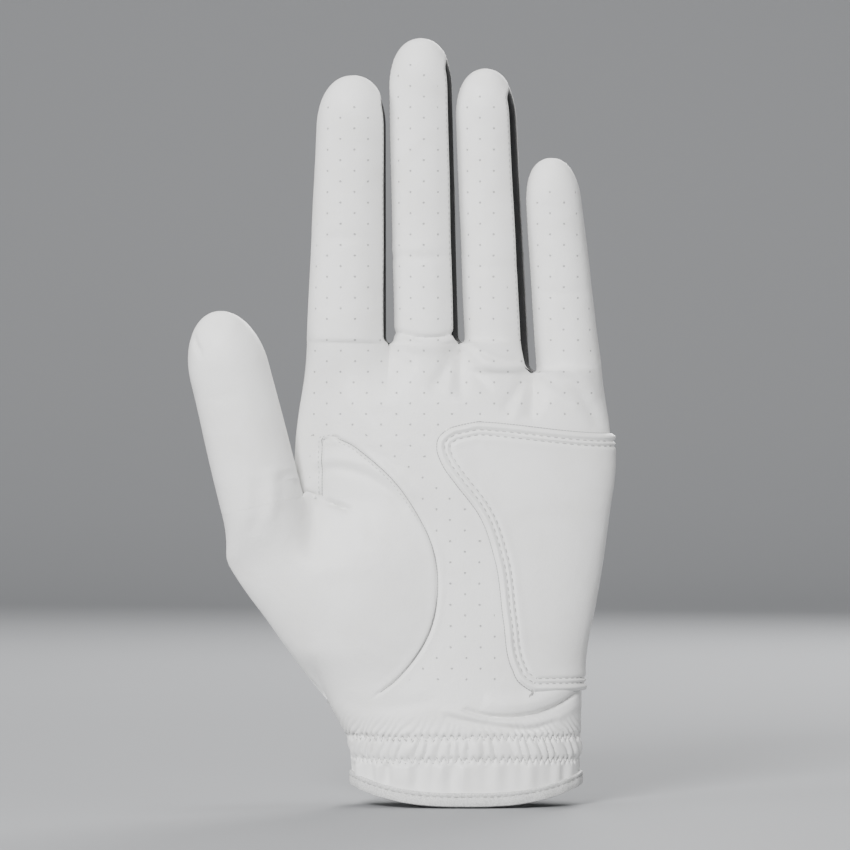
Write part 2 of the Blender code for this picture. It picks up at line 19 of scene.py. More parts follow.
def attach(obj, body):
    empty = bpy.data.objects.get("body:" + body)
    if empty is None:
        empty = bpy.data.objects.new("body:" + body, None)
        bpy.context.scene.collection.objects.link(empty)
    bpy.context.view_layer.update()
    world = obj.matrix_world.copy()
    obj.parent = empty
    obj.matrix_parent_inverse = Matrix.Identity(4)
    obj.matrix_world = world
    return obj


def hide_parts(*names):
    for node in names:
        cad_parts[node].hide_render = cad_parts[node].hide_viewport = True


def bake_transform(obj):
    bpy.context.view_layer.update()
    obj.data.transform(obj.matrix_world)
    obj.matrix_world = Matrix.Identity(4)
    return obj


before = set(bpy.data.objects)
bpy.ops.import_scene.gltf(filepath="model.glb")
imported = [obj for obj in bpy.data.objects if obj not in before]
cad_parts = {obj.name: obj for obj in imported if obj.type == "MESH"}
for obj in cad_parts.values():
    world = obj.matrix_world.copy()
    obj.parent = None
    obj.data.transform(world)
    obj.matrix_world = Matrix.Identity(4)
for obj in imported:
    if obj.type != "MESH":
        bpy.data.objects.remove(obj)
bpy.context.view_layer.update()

bl_info = {
    "name": "Golf Glove",
    "version": (1, 0, 0),
    "blender": (4, 5, 0),
    "location": "3D View > Sidebar > Golf Glove",
    "description": "Dresses a jointed left-hand golf glove in leather, stretch knit and stitching",
    "category": "Add Mesh",
}

MM = 0.001
FULLNESS = 2.3
CUFF_TOP = 28.0 * MM
WEB_RADIUS = 2.0 * MM
BLEND = 20.0 * MM
FRONT, BACK = -1, 1
UNEVEN = 0.10 * MM  # the leather's slow unevenness
TUCK = 0.6 * MM  # how far a strip sinks under the thumb's leather
WELD = 0.08 * MM  # points this close are joined where sheets of one piece meet
STRIP_LOW = 84 * MM  # where the strips beside the thumb start

# The hand form's level sections: height, then the place or size there, in mm
LEFT_EDGE = [(0, -33.0), (8, -33.4), (20, -35.2), (30, -40.5), (45, -45.0),
             (65, -48.5), (91, -50.6), (107, -50.2), (122, -48.3), (140, -47.0)]
RIGHT_EDGE = [(0, 33.0), (8, 33.4), (30, 34.0), (42, 34.3), (60, 37.5),
              (84, 41.2), (100, 43.0), (112, 42.2), (128, 39.8), (140, 39.0)]
PALM_DEPTH = [(0, 19.0), (20, 18.5), (45, 16.0), (75, 14.0), (100, 13.0), (137, 10.0)]
BACK_DEPTH = [(0, 19.0), (20, 18.5), (45, 17.0), (75, 16.0), (100, 14.5), (137, 10.0)]
THUMB_SIDE = [(28, -39.2), (42, -50.0), (54, -58.5), (66, -67.0), (75, -71.0), (90, -72.6)]
THUMB_SIDE_DEPTH = [(28, 0.0), (60, -5.0), (90, -9.0)]
HEEL_SEAM = [(28, -31.0), (38, -19.5), (48, -12.1), (60, -8.6), (76, -10.0),
             (93, -19.5), (104, -31.3), (108, -38.6)]
THUMB_BACK_SEAM = [(28, -36.2), (44, -41.6), (64, -44.6), (93, -46.6)]
PATCH_EDGE = [(33, 20.0), (36, 15.6), (40, 13.4), (54, 10.9), (72, 8.4), (86, 3.2),
              (94, -3.0), (99, -7.2), (102.5, -8.6), (105.5, -7.4), (107.6, -3.6), (109, 3.0)]
BACK_SEAM_X = -46.9 * MM  # where the thumb's back seam ends at its top
GORE_X = -42.5 * MM
GORE_TOP = 108.0 * MM
CROTCH = np.array((-47.9, -9.2, 91.0)) * MM

WEBS = (-23.3 * MM, -2.1 * MM, 19.2 * MM)
WEB_HEIGHTS = (135.8 * MM, 135.8 * MM, 127.4 * MM)

Digit = namedtuple("Digit", "name base tip width depth forward seams hinge split bend cap")
# seams: angles of the front panel's edges; hinge, split and bend: distances from the base, in
# mm, of the knuckle's bend, the cut between the two panels and the middle joint's bend; cap:
# how long the round end is, in mm, and how full
FINGERS = (
    Digit("index", (-35.0, 0, 137.0), (-33.2, 0, 214.2), (11.9, 10.0), (9.3, 8.3), 5.0,
          (-90.0, 64.0), (0.0, 16.0), 17.0, (18.0, 40.0), (15.0, 2.2)),
    Digit("middle", (-11.5, 0, 137.0), (-13.5, 0, 225.1), (9.6, 9.4), (9.3, 8.3), 5.0,
          (-86.0, 53.0), (0.0, 16.0), 17.0, (19.0, 41.0), (15.0, 2.2)),
    Digit("ring", (9.0, 0, 137.0), (5.3, 0, 216.2), (9.4, 8.9), (9.0, 8.0), 5.0,
          (-86.0, 46.0), (0.0, 16.0), 17.0, (18.0, 40.0), (15.0, 2.2)),
    Digit("little", (30.2, 0, 129.0), (24.6, 0, 189.9), (9.5, 7.7), (8.4, 7.0), 4.0,
          (-85.0, 90.0), (0.0, 14.0), 14.5, (15.0, 33.0), (13.5, 2.3)),
)
THUMB = Digit("thumb", (-60.6, -9.2, 91.5), (-73.6, -14.0, 144.6), (12.2, 11.4),
              (10.6, 9.6), 1.0, (-90.0, 90.0), (3.0, 19.0), 2.0, (), (18.0, 2.0))
FORK_ANGLE = 50.0

SLIT_X = 6.0 * MM
SLIT_HALF = 2.5 * MM
SLIT_TOP = 50.0 * MM
TAB_LOW = 14.0 * MM
TAB_HIGH = 40.0 * MM
TAB_HINGE_X = -24.0 * MM
TAB_FREE_END_X = 29.0 * MM
TAB_ROOT_X = -32.2 * MM

Crease = namedtuple("Crease", "line depth width")
# Soft folds of the palm side: the line's (x, z) points, the depth, below 0 for a ridge, and
# the half width, all in mm
CREASES = (
    Crease([(-21.5, 139.0), (-15, 137.2), (-8, 137.0), (-3.2, 138.6)], 1.00, 0.8),
    Crease([(-21.5, 136.2), (-14, 134.6), (-8, 134.6), (-3.2, 136.2)], -0.45, 1.8),
    Crease([(0.4, 135.6), (5, 132.6), (10, 130.6), (16, 129.6)], 0.55, 1.2),
    Crease([(1.0, 132.6), (6, 129.6), (11, 127.9), (16, 127.4)], -0.35, 2.0),
    Crease([(-22.4, 134.0), (-20, 130.5), (-15, 127.5)], 0.35, 1.4),
    Crease([(-4.2, 134.4), (-6, 128), (-11, 122)], 0.45, 1.6),
    Crease([(-2.6, 133.6), (-2.0, 127), (-1.2, 119)], 0.50, 1.5),
    Crease([(-0.6, 133.8), (2.6, 127), (7.5, 121)], 0.35, 1.5),
    Crease([(-4.0, 131.0), (-4.4, 126), (-5.6, 120)], -0.30, 1.4),
    Crease([(17.2, 125.6), (14.5, 121), (10.5, 116)], 0.40, 1.5),
    Crease([(19.4, 125.0), (19.2, 119), (18.6, 113)], 0.50, 1.5),
    Crease([(21.5, 125.4), (25.5, 121), (31.5, 117)], 0.40, 1.5),
    Crease([(24.0, 127.0), (31.0, 124.0), (36.0, 117), (39.0, 110.5)], 0.50, 1.8),
    Crease([(27.0, 129.0), (34.0, 125.5), (38.4, 119)], -0.35, 1.8),
    Crease([(17.0, 122.0), (15.6, 117), (13, 112)], -0.25, 1.6),
    Crease([(-46, 100.2), (-38, 101.6), (-29, 99.6), (-22, 95.6), (-15, 90)], -0.40, 1.7),
    Crease([(-46, 97.4), (-38, 98.8), (-30, 96.8), (-23, 92.4), (-17, 86.5)], 0.40, 1.4),
    Crease([(-44, 104.6), (-34, 105.4), (-24, 101.6), (-14, 95.6)], 0.18, 1.6),
    Crease([(-47.9, 91.2), (-42.6, 89.6), (-38, 88.0), (-33.6, 86.4)], 1.7, 0.7),
    Crease([(-47, 88.0), (-42, 86.0), (-36, 84)], -0.40, 1.8),
    Crease([(-53.4, 98.0), (-52.8, 90), (-54.0, 82)], 0.85, 2.4),
    Crease([(-56.6, 99.0), (-56.0, 91), (-57.4, 82)], -0.45, 2.2),
    Crease([(-60.5, 96.0), (-60.6, 88), (-62.4, 79)], 0.45, 2.2),
    Crease([(-49.4, 90), (-47.4, 84), (-44.6, 77)], 0.60, 2.6),
    Crease([(-50.6, 94), (-50.2, 86), (-49.2, 79)], -0.40, 2.0),
    Crease([(-22.6, 161.2), (-14, 160.6), (-4.4, 161.2)], 0.20, 1.3),
    Crease([(-22.6, 163.6), (-14, 163.2), (-4.4, 163.6)], -0.14, 1.6),
    Crease([(-46, 165.6), (-36, 166.4), (-26, 165.6)], 0.14, 1.6),
    Crease([(1.0, 158.6), (8, 157.8), (16, 158.8)], 0.14, 1.5),
    Crease([(20.5, 151.0), (28, 150.0), (37, 151.2)], 0.14, 1.5),
    Crease([(33.6, 33.6), (28, 30.0), (22, 27.6), (14, 26.2), (6, 26.6), (-1, 28.6)], 1.30, 0.65),
    Crease([(33.0, 36.6), (27, 33.2), (20, 30.6), (13, 29.6), (5, 30.4)], -0.80, 2.6),
    Crease([(-6.5, 26.6), (0.5, 24.9), (9.9, 23.3), (19, 22.6), (27, 25.2)], 0.55, 0.9),
    Crease([(-7.5, 28.4), (0.5, 26.6), (6, 25.2)], -0.30, 1.3),
    Crease([(33.6, 30.0), (26, 25.8), (18, 24.4), (9, 25.0)], -0.40, 1.3),
    Crease([(-36, 30.6), (-28, 29.0), (-18, 29.6), (-8, 31.0)], 0.22, 2.2),
)


def smooth(low, high, value):
    t = np.clip((value - low) / (high - low), 0.0, 1.0)
    return t * t * (3.0 - 2.0 * t)


def lerp(a, b, t):
    return a + (b - a) * t


def curve(stations, height):
    """A smooth line through (height, value) stations in mm, level beyond its ends."""
    heights, values = np.array(stations, float).T * MM
    height = np.clip(height, heights[0], heights[-1])
    slopes = np.gradient(values, heights)
    i = np.clip(np.searchsorted(heights, height, "right") - 1, 0, len(heights) - 2)
    step = heights[i + 1] - heights[i]
    t = (height - heights[i]) / step
    return (
        values[i] * (1 + 2 * t) * (1 - t) ** 2
        + values[i + 1] * t * t * (3 - 2 * t)
        + step * t * (1 - t) * (slopes[i] * (1 - t) - slopes[i + 1] * t)
    )


def rounded(value):
    """A sine or cosine made fuller, for a rounded section."""
    return np.copysign(np.abs(value) ** (2.0 / FULLNESS), value)


def bulge(share):
    """The rounded section's height over its width: 1 in the middle, 0 at -1 and 1."""
    return (1.0 - np.minimum(np.abs(share), 1.0) ** FULLNESS) ** (1.0 / FULLNESS)


def points(x, y, z):
    return np.stack(np.broadcast_arrays(x, y, z), axis=-1).astype(float)


def hand_point(turn, height, side):
    """On the palm's section: turn runs -90 to 90 degrees, thumb side to little finger."""
    left, right = curve(LEFT_EDGE, height), curve(RIGHT_EDGE, height)
    depth = curve(PALM_DEPTH if side == FRONT else BACK_DEPTH, height)
    angle = np.radians(turn)
    return points(lerp(left, right, 0.5 + 0.5 * rounded(np.sin(angle))),
                  side * depth * rounded(np.cos(angle)), height)


def turn_at(x, height):
    """The turn at which the palm's section is this far across."""
    left, right = curve(LEFT_EDGE, height), curve(RIGHT_EDGE, height)
    share = np.clip((2 * x - left - right) / (right - left), -1.0, 1.0)
    return np.degrees(np.arcsin(np.copysign(np.abs(share) ** (FULLNESS / 2.0), share)))


def hand_at(x, height, side):
    return hand_point(turn_at(x, height), height, side)


def length_of(digit):
    return float(np.linalg.norm(np.subtract(digit.tip, digit.base)[[0, 2]])) * MM


def directions_of(digit):
    """The unit vectors across the digit and along it."""
    along = np.subtract(digit.tip, digit.base) * (1, 0, 1)
    along = along / np.linalg.norm(along)
    return np.array((along[2], 0, -along[0])), along


def centre_of(digit, distance):
    """The middle of the digit's section this far from its base."""
    distance = np.asarray(distance, float)
    share = distance / length_of(digit)
    centre = np.array(digit.base) * MM + directions_of(digit)[1] * distance[..., None]
    bow = lerp(digit.base[1], digit.tip[1], share) - digit.forward * np.maximum(share, 0.0) ** 2
    centre[..., 1] = bow * MM
    return centre


def digit_point(digit, angle, distance):
    """On the digit's skin: angle 0 faces the palm side, 90 the little finger's side."""
    angle, distance = np.broadcast_arrays(np.asarray(angle, float), np.asarray(distance, float))
    length = length_of(digit)
    share = np.clip(distance / length, 0.0, 1.0)
    cap_length, fullness = digit.cap[0] * MM, digit.cap[1]
    into_cap = np.clip((distance - length + cap_length) / cap_length, 0.0, 1.0)
    cap = np.maximum(1.0 - into_cap ** fullness, 0.0) ** (1.0 / fullness)
    turn = np.radians(angle)
    half = lerp(*digit.width, share) * MM * cap
    point = centre_of(digit, distance)
    point = point + directions_of(digit)[0] * (half * rounded(np.sin(turn)))[..., None]
    point[..., 1] -= lerp(*digit.depth, share) * MM * cap * rounded(np.cos(turn))
    return point


def seam_angle(digit, side, right, distance):
    """A panel's edge angle: near the tip, where the fourchettes end, front and back meet."""
    first, last = digit.seams
    if side == BACK:
        first = 270.0 if first == -90.0 else 360.0 + first - FORK_ANGLE
        last = 90.0 if last == 90.0 else last + FORK_ANGLE
    meeting = 90.0 if right else (270.0 if side == BACK else -90.0)
    length = length_of(digit)
    closing = smooth(length - 9.5 * MM, length - 3 * MM, distance)
    return lerp(last if right else first, meeting, closing)


def strip_turns(k, height):
    """The turns at the left and right edges of finger k's strip."""
    return (-90.0 if k == 0 else turn_at(WEBS[k - 1], height),
            90.0 if k == 3 else turn_at(WEBS[k], height))


def neighbours(k):
    """(edge, finger) on each side of finger k that has one: edge 0 is left, 1 right."""
    return [(edge, other) for edge, other in ((0, k - 1), (1, k + 1))
            if 0 <= other < len(FINGERS)]


def strip_point(k, across, height, side):
    """Finger k's strip of the hand, across from 0 at its left edge to 1 at its right."""
    digit = FINGERS[k]
    base = digit.base[2] * MM
    left, right = strip_turns(k, height)
    palm = hand_point(lerp(left, right, across), height, side)
    distance = height - base
    angle = lerp(seam_angle(digit, side, False, distance),
                 seam_angle(digit, side, True, distance), across)
    finger = digit_point(digit, angle, distance)
    return lerp(palm, finger, smooth(base - BLEND, base, height)[..., None])


def shut(height, web):
    """How far the slot between two fingers is closed: 1 below its round end, 0 above it."""
    into = np.clip((height - web) / WEB_RADIUS, 0.0, 1.0)
    return 1.0 - np.sqrt(1.0 - (1.0 - into) ** 2)


def sheet_point(k, across, height, side):
    """The strip's point, with its edges drawn to the neighbours' below each web."""
    across, height = np.broadcast_arrays(np.asarray(across, float), np.asarray(height, float))
    point = strip_point(k, across, height, side)
    for edge, other in neighbours(k):
        closing = shut(height, WEB_HEIGHTS[min(k, other)])
        own = strip_point(k, np.full(height.shape, float(edge)), height, side)
        beside = strip_point(other, np.full(height.shape, 1.0 - edge), height, side)
        near = across if edge else 1.0 - across
        point = point + (beside - own) * (0.5 * closing * near)[..., None]
    return point


# Relief: every lift is in metres off the form, outwards

def distance_to(line, x, z):
    """The distance in mm to a line of (x, z) points, and how far along it, from 0 to 1."""
    line = np.array(line, float)
    nearest = np.full(x.shape, 1e9)
    along = np.zeros(x.shape)
    lengths = np.linalg.norm(np.diff(line, axis=0), axis=1)
    total, gone = lengths.sum(), 0.0
    px, pz = x / MM, z / MM
    for a, b, length in zip(line[:-1], line[1:], lengths):
        t = np.clip(((px - a[0]) * (b - a)[0] + (pz - a[1]) * (b - a)[1]) / length ** 2, 0, 1)
        away = np.hypot(px - lerp(a[0], b[0], t), pz - lerp(a[1], b[1], t))
        closer = away < nearest
        nearest = np.where(closer, away, nearest)
        along = np.where(closer, (gone + t * length) / total, along)
        gone += length
    return nearest, along


def fine_line(line, count=24):
    """The line's points spread evenly along a smooth curve through them."""
    line = np.array(line, float)
    t = np.linspace(0, len(line) - 1, count)
    i = np.clip(t.astype(int), 0, len(line) - 2)
    f = (t - i)[:, None]
    slope = np.gradient(line, axis=0)
    return (line[i] * (1 + 2 * f) * (1 - f) ** 2 + line[i + 1] * f * f * (3 - 2 * f)
            + f * (1 - f) * (slope[i] * (1 - f) - slope[i + 1] * f))


FINE_CREASES = [Crease(fine_line(c.line), c.depth, c.width) for c in CREASES]


def folds(point):
    """How far the palm side's folds lift the leather."""
    x, z = point[..., 0], point[..., 2]
    lift = np.zeros(x.shape)
    for crease in FINE_CREASES:
        away, along = distance_to(crease.line, x, z)
        fade = np.clip(4.0 * along * (1.0 - along), 0.0, 1.0) ** 0.5
        lift -= 1.45 * crease.depth * fade * np.exp(-(away / crease.width) ** 2)
    return lift * MM


def wander(x, z, size, seed):
    """A smooth unevenness of about -1 to 1 over this size, in mm."""
    px, pz = x / MM / size, z / MM / size
    return (np.sin(px * 2.1 + seed) * np.cos(pz * 1.7 - seed * 1.3)
            + np.sin(px * 0.9 - pz * 1.3 + seed * 2.1)
            + np.cos(px * 1.3 + pz * 2.3 + seed * 0.7)) / 3.0


def groove(away, depth, width):
    """A seam's valley, away metres from its line."""
    return -depth * np.exp(-(np.abs(away) / width) ** 2)


# Laying grids on the form and making pieces

def steps(*stops):
    """Even steps between (place, place, size) stops, as one rising list without repeats."""
    rows = []
    for low, high, size in stops:
        count = max(1, int(round((high - low) / size)))
        rows.extend(np.linspace(low, high, count + 1))
    rows = np.array(sorted(rows))
    return rows[np.concatenate(([True], np.diff(rows) > 1e-7))]


def lay(bm, columns, rows, place, side=FRONT, holes=None):
    """Adds a grid through these column and row places. place(column, row) gives the points;
    columns run left to right and rows up. Each point keeps where the pattern lies on it."""
    pattern = bm.verts.layers.float_vector.get("laid") or bm.verts.layers.float_vector.new("laid")
    punched = bm.verts.layers.float.get("punched") or bm.verts.layers.float.new("punched")
    columns, rows = np.asarray(columns, float), np.asarray(rows, float)
    column, row = np.meshgrid(columns, rows)
    point = place(column, row)
    flat = unrolled(point, column, row, side)
    mask = holes(point, column, row) if holes else np.zeros(column.shape)
    made = bmesh.ops.create_grid(bm, x_segments=len(columns) - 1, y_segments=len(rows) - 1,
                                 size=0.5)["verts"]
    for vert in made:
        j = round((vert.co.x + 0.5) * (len(columns) - 1))
        i = round((vert.co.y + 0.5) * (len(rows) - 1))
        vert.co = point[i, j]
        vert[pattern] = flat[i, j]
        vert[punched] = mask[i, j]
    if side == BACK:
        bmesh.ops.reverse_faces(bm, faces=list({f for v in made for f in v.link_faces}))
    return made


def unrolled(point, column, row, side):
    """Where each point lies in mm on the flat leather: across, side and up."""
    along = np.gradient(point, axis=1)
    across = np.cumsum(np.linalg.norm(along, axis=2), axis=1)
    middle = point.shape[1] // 2
    across = across - across[:, middle:middle + 1] + point[:, middle:middle + 1, 0]
    return np.stack((across / MM, np.full(across.shape, 40.0 * side),
                     np.broadcast_to(point[..., 2], across.shape) / MM), axis=-1)


def unit(normal):
    """The directions at length 1; a tip's point, where they have no length, stays unlifted."""
    length = np.linalg.norm(normal, axis=-1)
    return np.where((length > 1e-12)[..., None], normal / np.maximum(length, 1e-12)[..., None], 0)


def lifted(place, lift, side, column_step=0.002, row_step=0.1 * MM):
    """place, moved off the surface by lift(point, column, row)."""
    def moved(column, row):
        point = place(column, row)
        right = place(column + column_step, row) - place(column - column_step, row)
        up = place(column, row + row_step) - place(column, row - row_step)
        normal = unit(np.cross(right, up) * -side)
        return point + normal * lift(point, column, row)[..., None]
    return moved


def strip_lifted(k, side):
    """Finger k's strip, lifted. Below a web both neighbours rise along the hand's own normal."""
    lift = finger_lift(k, side)

    def moved(column, row):
        point = sheet_point(k, column, row, side)
        right = (sheet_point(k, column + 0.003, row, side)
                 - sheet_point(k, column - 0.003, row, side))
        up = (sheet_point(k, column, row + 0.1 * MM, side)
              - sheet_point(k, column, row - 0.1 * MM, side))
        normal = unit(np.cross(right, up) * -side)
        shared = np.zeros(column.shape)
        for edge, other in neighbours(k):
            near = column if edge else 1.0 - column
            closing = shut(row, WEB_HEIGHTS[min(k, other)])
            shared = np.maximum(shared, closing * smooth(0.72, 0.98, near))
        level = surface_normal(point[..., 0], row, side)
        normal = unit(lerp(normal, level, shared[..., None]))
        return point + normal * lift(point, column, row)[..., None]
    return moved


def give_wall(bm, thickness):
    """Gives the sheet a wall inwards, closed at its rims."""
    bm.normal_update()
    sheet = bm.verts[:]
    inwards = [vert.normal * -thickness for vert in sheet]
    bmesh.ops.extrude_face_region(bm, geom=bm.faces[:] + bm.edges[:], use_keep_orig=True)
    for vert, move in zip(sheet, inwards):
        vert.co += move


def make_piece(bm, name, look, replaces=(), thickness=0.0, merge=0.004 * MM):
    """The finished mesh object at the origin, its wall given inwards."""
    bmesh.ops.remove_doubles(bm, verts=bm.verts, dist=merge)
    if thickness:
        give_wall(bm, thickness)
    mesh = bpy.data.meshes.new(name)
    bm.to_mesh(mesh)
    bm.free()
    mesh.shade_smooth()
    mesh.set_sharp_from_angle(angle=math.radians(50))
    obj = bpy.data.objects.new(name, mesh)
    bpy.context.scene.collection.objects.link(obj)
    mesh.materials.append(look)
    if replaces:
        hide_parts(*replaces)
    return obj


def bend(obj, digit, first, second, span):
    """Bakes the piece's placement into its mesh; it does not bend it between the two bodies."""
    start, end = (centre_of(digit, s * MM) for s in span)
    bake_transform(obj)


# Finishes

class Value:
    """A shader value that takes Python's operators, which add Math nodes."""

    def __init__(self, finish, socket):
        self.finish = finish
        self.socket = socket

    def math(self, operation, *others):
        values = dict(enumerate((self, *others)))
        return self.finish.node("ShaderNodeMath", {"operation": operation}, values)

    def __add__(self, other):
        return self.math("ADD", other)

    __radd__ = __add__

    def __sub__(self, other):
        return self.math("SUBTRACT", other)

    def __rsub__(self, other):
        return (self * -1.0) + other

    def __mul__(self, other):
        return self.math("MULTIPLY", other)

    __rmul__ = __mul__

    def __truediv__(self, other):
        return self.math("DIVIDE", other)

    def __pow__(self, other):
        return self.math("POWER", other)


class Finish:
    """A material and the nodes that vary it over the surface."""

    def __init__(self, name, **constants):
        self.material = bpy.data.materials.new(name)
        self.material.use_nodes = True
        self.tree = self.material.node_tree
        self.shader = self.tree.nodes["Principled BSDF"]
        for socket, value in constants.items():
            self.shader.inputs[socket.replace("_", " ")].default_value = value

    def node(self, kind, settings, inputs, out=0):
        made = self.tree.nodes.new(kind)
        for key, value in settings.items():
            setattr(made, key, value)
        for key, value in inputs.items():
            if isinstance(value, Value):
                self.tree.links.new(value.socket, made.inputs[key])
            else:
                made.inputs[key].default_value = value
        return Value(self, made.outputs[out])

    def attribute(self, name, out):
        return self.node("ShaderNodeAttribute", {"attribute_name": name}, {}, out)

    def noise(self, place, scale, detail=2.0, distortion=0.0):
        return self.node("ShaderNodeTexNoise", {}, {
            "Vector": place, "Scale": scale, "Detail": detail, "Distortion": distortion})

    def cells(self, place, scale, feature="F1"):
        return self.node("ShaderNodeTexVoronoi", {"feature": feature},
                         {"Vector": place, "Scale": scale}, "Distance")

    def mix(self, share, first, second):
        """A colour between two colours; share is a Value."""
        inputs = {0: share, 6: first, 7: second}
        return self.node("ShaderNodeMix", {"data_type": "RGBA"}, inputs, 2)

    def clamp(self, value):
        return self.node("ShaderNodeClamp", {}, {0: value})

    def feed(self, socket, value):
        self.tree.links.new(value.socket, self.shader.inputs[socket])

    def relief(self, height):
        """Raises the surface by height, in mm."""
        self.feed("Normal", self.node("ShaderNodeBump", {}, {
            "Strength": 1.0, "Distance": MM, "Height": height}))


def colour(value):
    return (*value[:3], 1.0)


def punch_distance(x, z, across, up, shift):
    """The distance in mm from the nearest hole of one lattice of perforations."""
    a = ((x / across + shift).math("FRACT") - 0.5) * across
    b = ((z / up + shift).math("FRACT") - 0.5) * up
    return (a * a + b * b) ** 0.5


def leather_look(name, hide, grain=1.0):
    """Thin soft hide: fine pores, slow unevenness, handling marks and punched air holes, each
    dented and painted dark grey as painted shade for its inside.
    """
    finish = Finish(name, Specular_IOR_Level=0.42, Sheen_Weight=0.06, Sheen_Roughness=0.4)
    laid = finish.attribute("laid", "Vector")
    punched = finish.attribute("punched", "Fac")
    pores = finish.cells(laid, 2.1)
    fibre = finish.noise(laid, 1.5, 4.0, 0.3)
    hills = finish.noise(laid, 0.16, 2.0, 0.4)
    marks = finish.noise(laid, 0.05, 3.0, 1.2)
    x = finish.node("ShaderNodeSeparateXYZ", {}, {0: laid})
    z = finish.node("ShaderNodeSeparateXYZ", {}, {0: laid}, 2)
    across, up = hide.punch_across / MM, hide.punch_up / MM
    near = punch_distance(x, z, across, up, 0.0).math(
        "MINIMUM", punch_distance(x, z, across, up, 0.5))
    hole = finish.clamp((hide.punch_size / MM * 0.5 + 0.06 - near) * 9.0)
    hole = hole * punched.math("GREATER_THAN", 0.5)
    base = finish.mix(finish.clamp((marks - 0.42) * 1.6), colour(hide.colour),
                      colour(hide.shade))
    # Painted shade: each air hole is painted dark grey for the shade inside it.
    finish.feed("Base Color", finish.mix(hole * 0.62, base, (0.16, 0.16, 0.16, 1.0)))
    finish.feed("Roughness", fibre * 0.16 + marks * 0.12 + 0.36)
    finish.relief((pores * 0.035 + fibre * 0.04) * (hide.grain * grain) + hills * 0.22
                  - hole * 0.16)
    return finish.material


def knit_look(name, knit):
    """Stretch knit: fine ribs up the strip, their tops painted lighter as a painted highlight, and
    a soft bloom.
    """
    finish = Finish(name, Specular_IOR_Level=0.2, Sheen_Weight=0.08, Sheen_Roughness=0.35)
    laid = finish.attribute("laid", "Vector")
    ribs = finish.node("ShaderNodeTexWave", {"bands_direction": "X"}, {
        "Vector": laid, "Scale": 0.62, "Distortion": 0.6, "Detail": 1.0}, 1)
    rows = finish.node("ShaderNodeTexWave", {"bands_direction": "Z"}, {
        "Vector": laid, "Scale": 0.9, "Distortion": 0.8, "Detail": 1.0}, 1)
    fuzz = finish.noise(laid, 3.0, 3.0)
    stitch = ribs * 0.6 + rows * 0.4
    # Painted highlight: the tops of the ribs are painted the lighter rib colour.
    finish.feed("Base Color", finish.mix(stitch * fuzz, colour(knit.colour), colour(knit.sheen)))
    finish.feed("Roughness", fuzz * 0.2 + 0.55)
    finish.relief(stitch * 0.10 + fuzz * 0.04)
    return finish.material


def thread_look(name, shade):
    """Spun thread, a little fuzzy."""
    finish = Finish(name, Specular_IOR_Level=0.4, Sheen_Weight=0.15)
    place = finish.node("ShaderNodeTexCoord", {}, {}, "Object")
    fuzz = finish.noise(place, 5200.0, 2.0)
    finish.feed("Base Color", finish.mix(fuzz, colour(shade), colour([c * 0.8 for c in shade])))
    finish.feed("Roughness", fuzz * 0.2 + 0.5)
    finish.relief(fuzz * 0.05)
    return finish.material


def tape_look(name, shade, scale, height, rough=0.75):
    """Woven or piled tape: elastic, hooks or loops by its scale and height; painted darker between
    its knots as painted shade, with some random tone.
    """
    finish = Finish(name, Specular_IOR_Level=0.3, Sheen_Weight=0.2)
    laid = finish.attribute("laid", "Vector")
    knots = finish.cells(laid, scale)
    fuzz = finish.noise(laid, scale * 2.0, 3.0)
    # Painted shade: the tape is painted darker between its knots, where its relief sinks, plus
    # random tone from the fuzz.
    knot_shade_and_tone = finish.clamp(knots * 0.9 + fuzz * 0.3)
    finish.feed("Base Color", finish.mix(knot_shade_and_tone, colour(shade), colour([c * 0.62 for c in shade])))
    finish.feed("Roughness", fuzz * 0.2 + rough)
    finish.relief((1.0 - knots) * height + fuzz * height * 0.4)
    return finish.material


# Sheet layout: the palm's columns at the height where the thumb's seam ends

TURN_HEIGHT = 108.0 * MM


def share_of(k, x, height=TURN_HEIGHT):
    """How far across finger k's strip this place lies."""
    left, right = strip_turns(k, height)
    return float((turn_at(x, height) - left) / (right - left))


def turns_of(k, shares):
    return lerp(*strip_turns(k, TURN_HEIGHT), np.asarray(shares, float))


GORE_SHARE = share_of(0, GORE_X)
ARC_SHARE = share_of(0, curve(HEEL_SEAM, TURN_HEIGHT))
BACK_SEAM_SHARE = share_of(0, BACK_SEAM_X)
SLIT_SHARE = share_of(2, SLIT_X)
EVEN = np.linspace(0.0, 1.0, 29)
EDGED = np.unique(np.concatenate((
    [0.0, 0.012, 0.026, 0.044], np.linspace(0.07, 0.93, 27), [0.956, 0.974, 0.988, 1.0])))
FRONT_SHARES = (
    steps((0, 0.05, 0.0125), (0.05, GORE_SHARE, 0.03), (GORE_SHARE, ARC_SHARE, 0.02),
          (ARC_SHARE, ARC_SHARE + 0.06, 0.012), (ARC_SHARE + 0.06, 0.95, 0.03),
          (0.95, 1.0, 0.0125)),
    EDGED, EDGED, EDGED)
BACK_SHARES = (
    steps((0, 0.05, 0.0125), (0.05, BACK_SEAM_SHARE, 0.03), (BACK_SEAM_SHARE, 1.0, 0.032)),
    EVEN,
    steps((0, SLIT_SHARE, 0.035), (SLIT_SHARE, 1.0, 0.035)),
    EDGED)

SEAM_LINE = fine_line([(-28.5, 31.0), (-19.5, 38.0), (-12.1, 48.0), (-8.6, 60.0), (-10.0, 76.0),
                       (-19.5, 93.0), (-31.3, 104.0), (-38.2, 107.8)], 60)
GORE_LINE = [(-38.2, 107.8), (-41.6, 107.4), (-42.5, 105.4), (-42.5, 89.8)]


def side_seam(away):
    """The leather dips to a stitched edge and swells beside it."""
    return (groove(away, 0.30 * MM, 0.55 * MM)
            + 0.13 * MM * np.exp(-((away - 1.5 * MM) / (0.9 * MM)) ** 2))


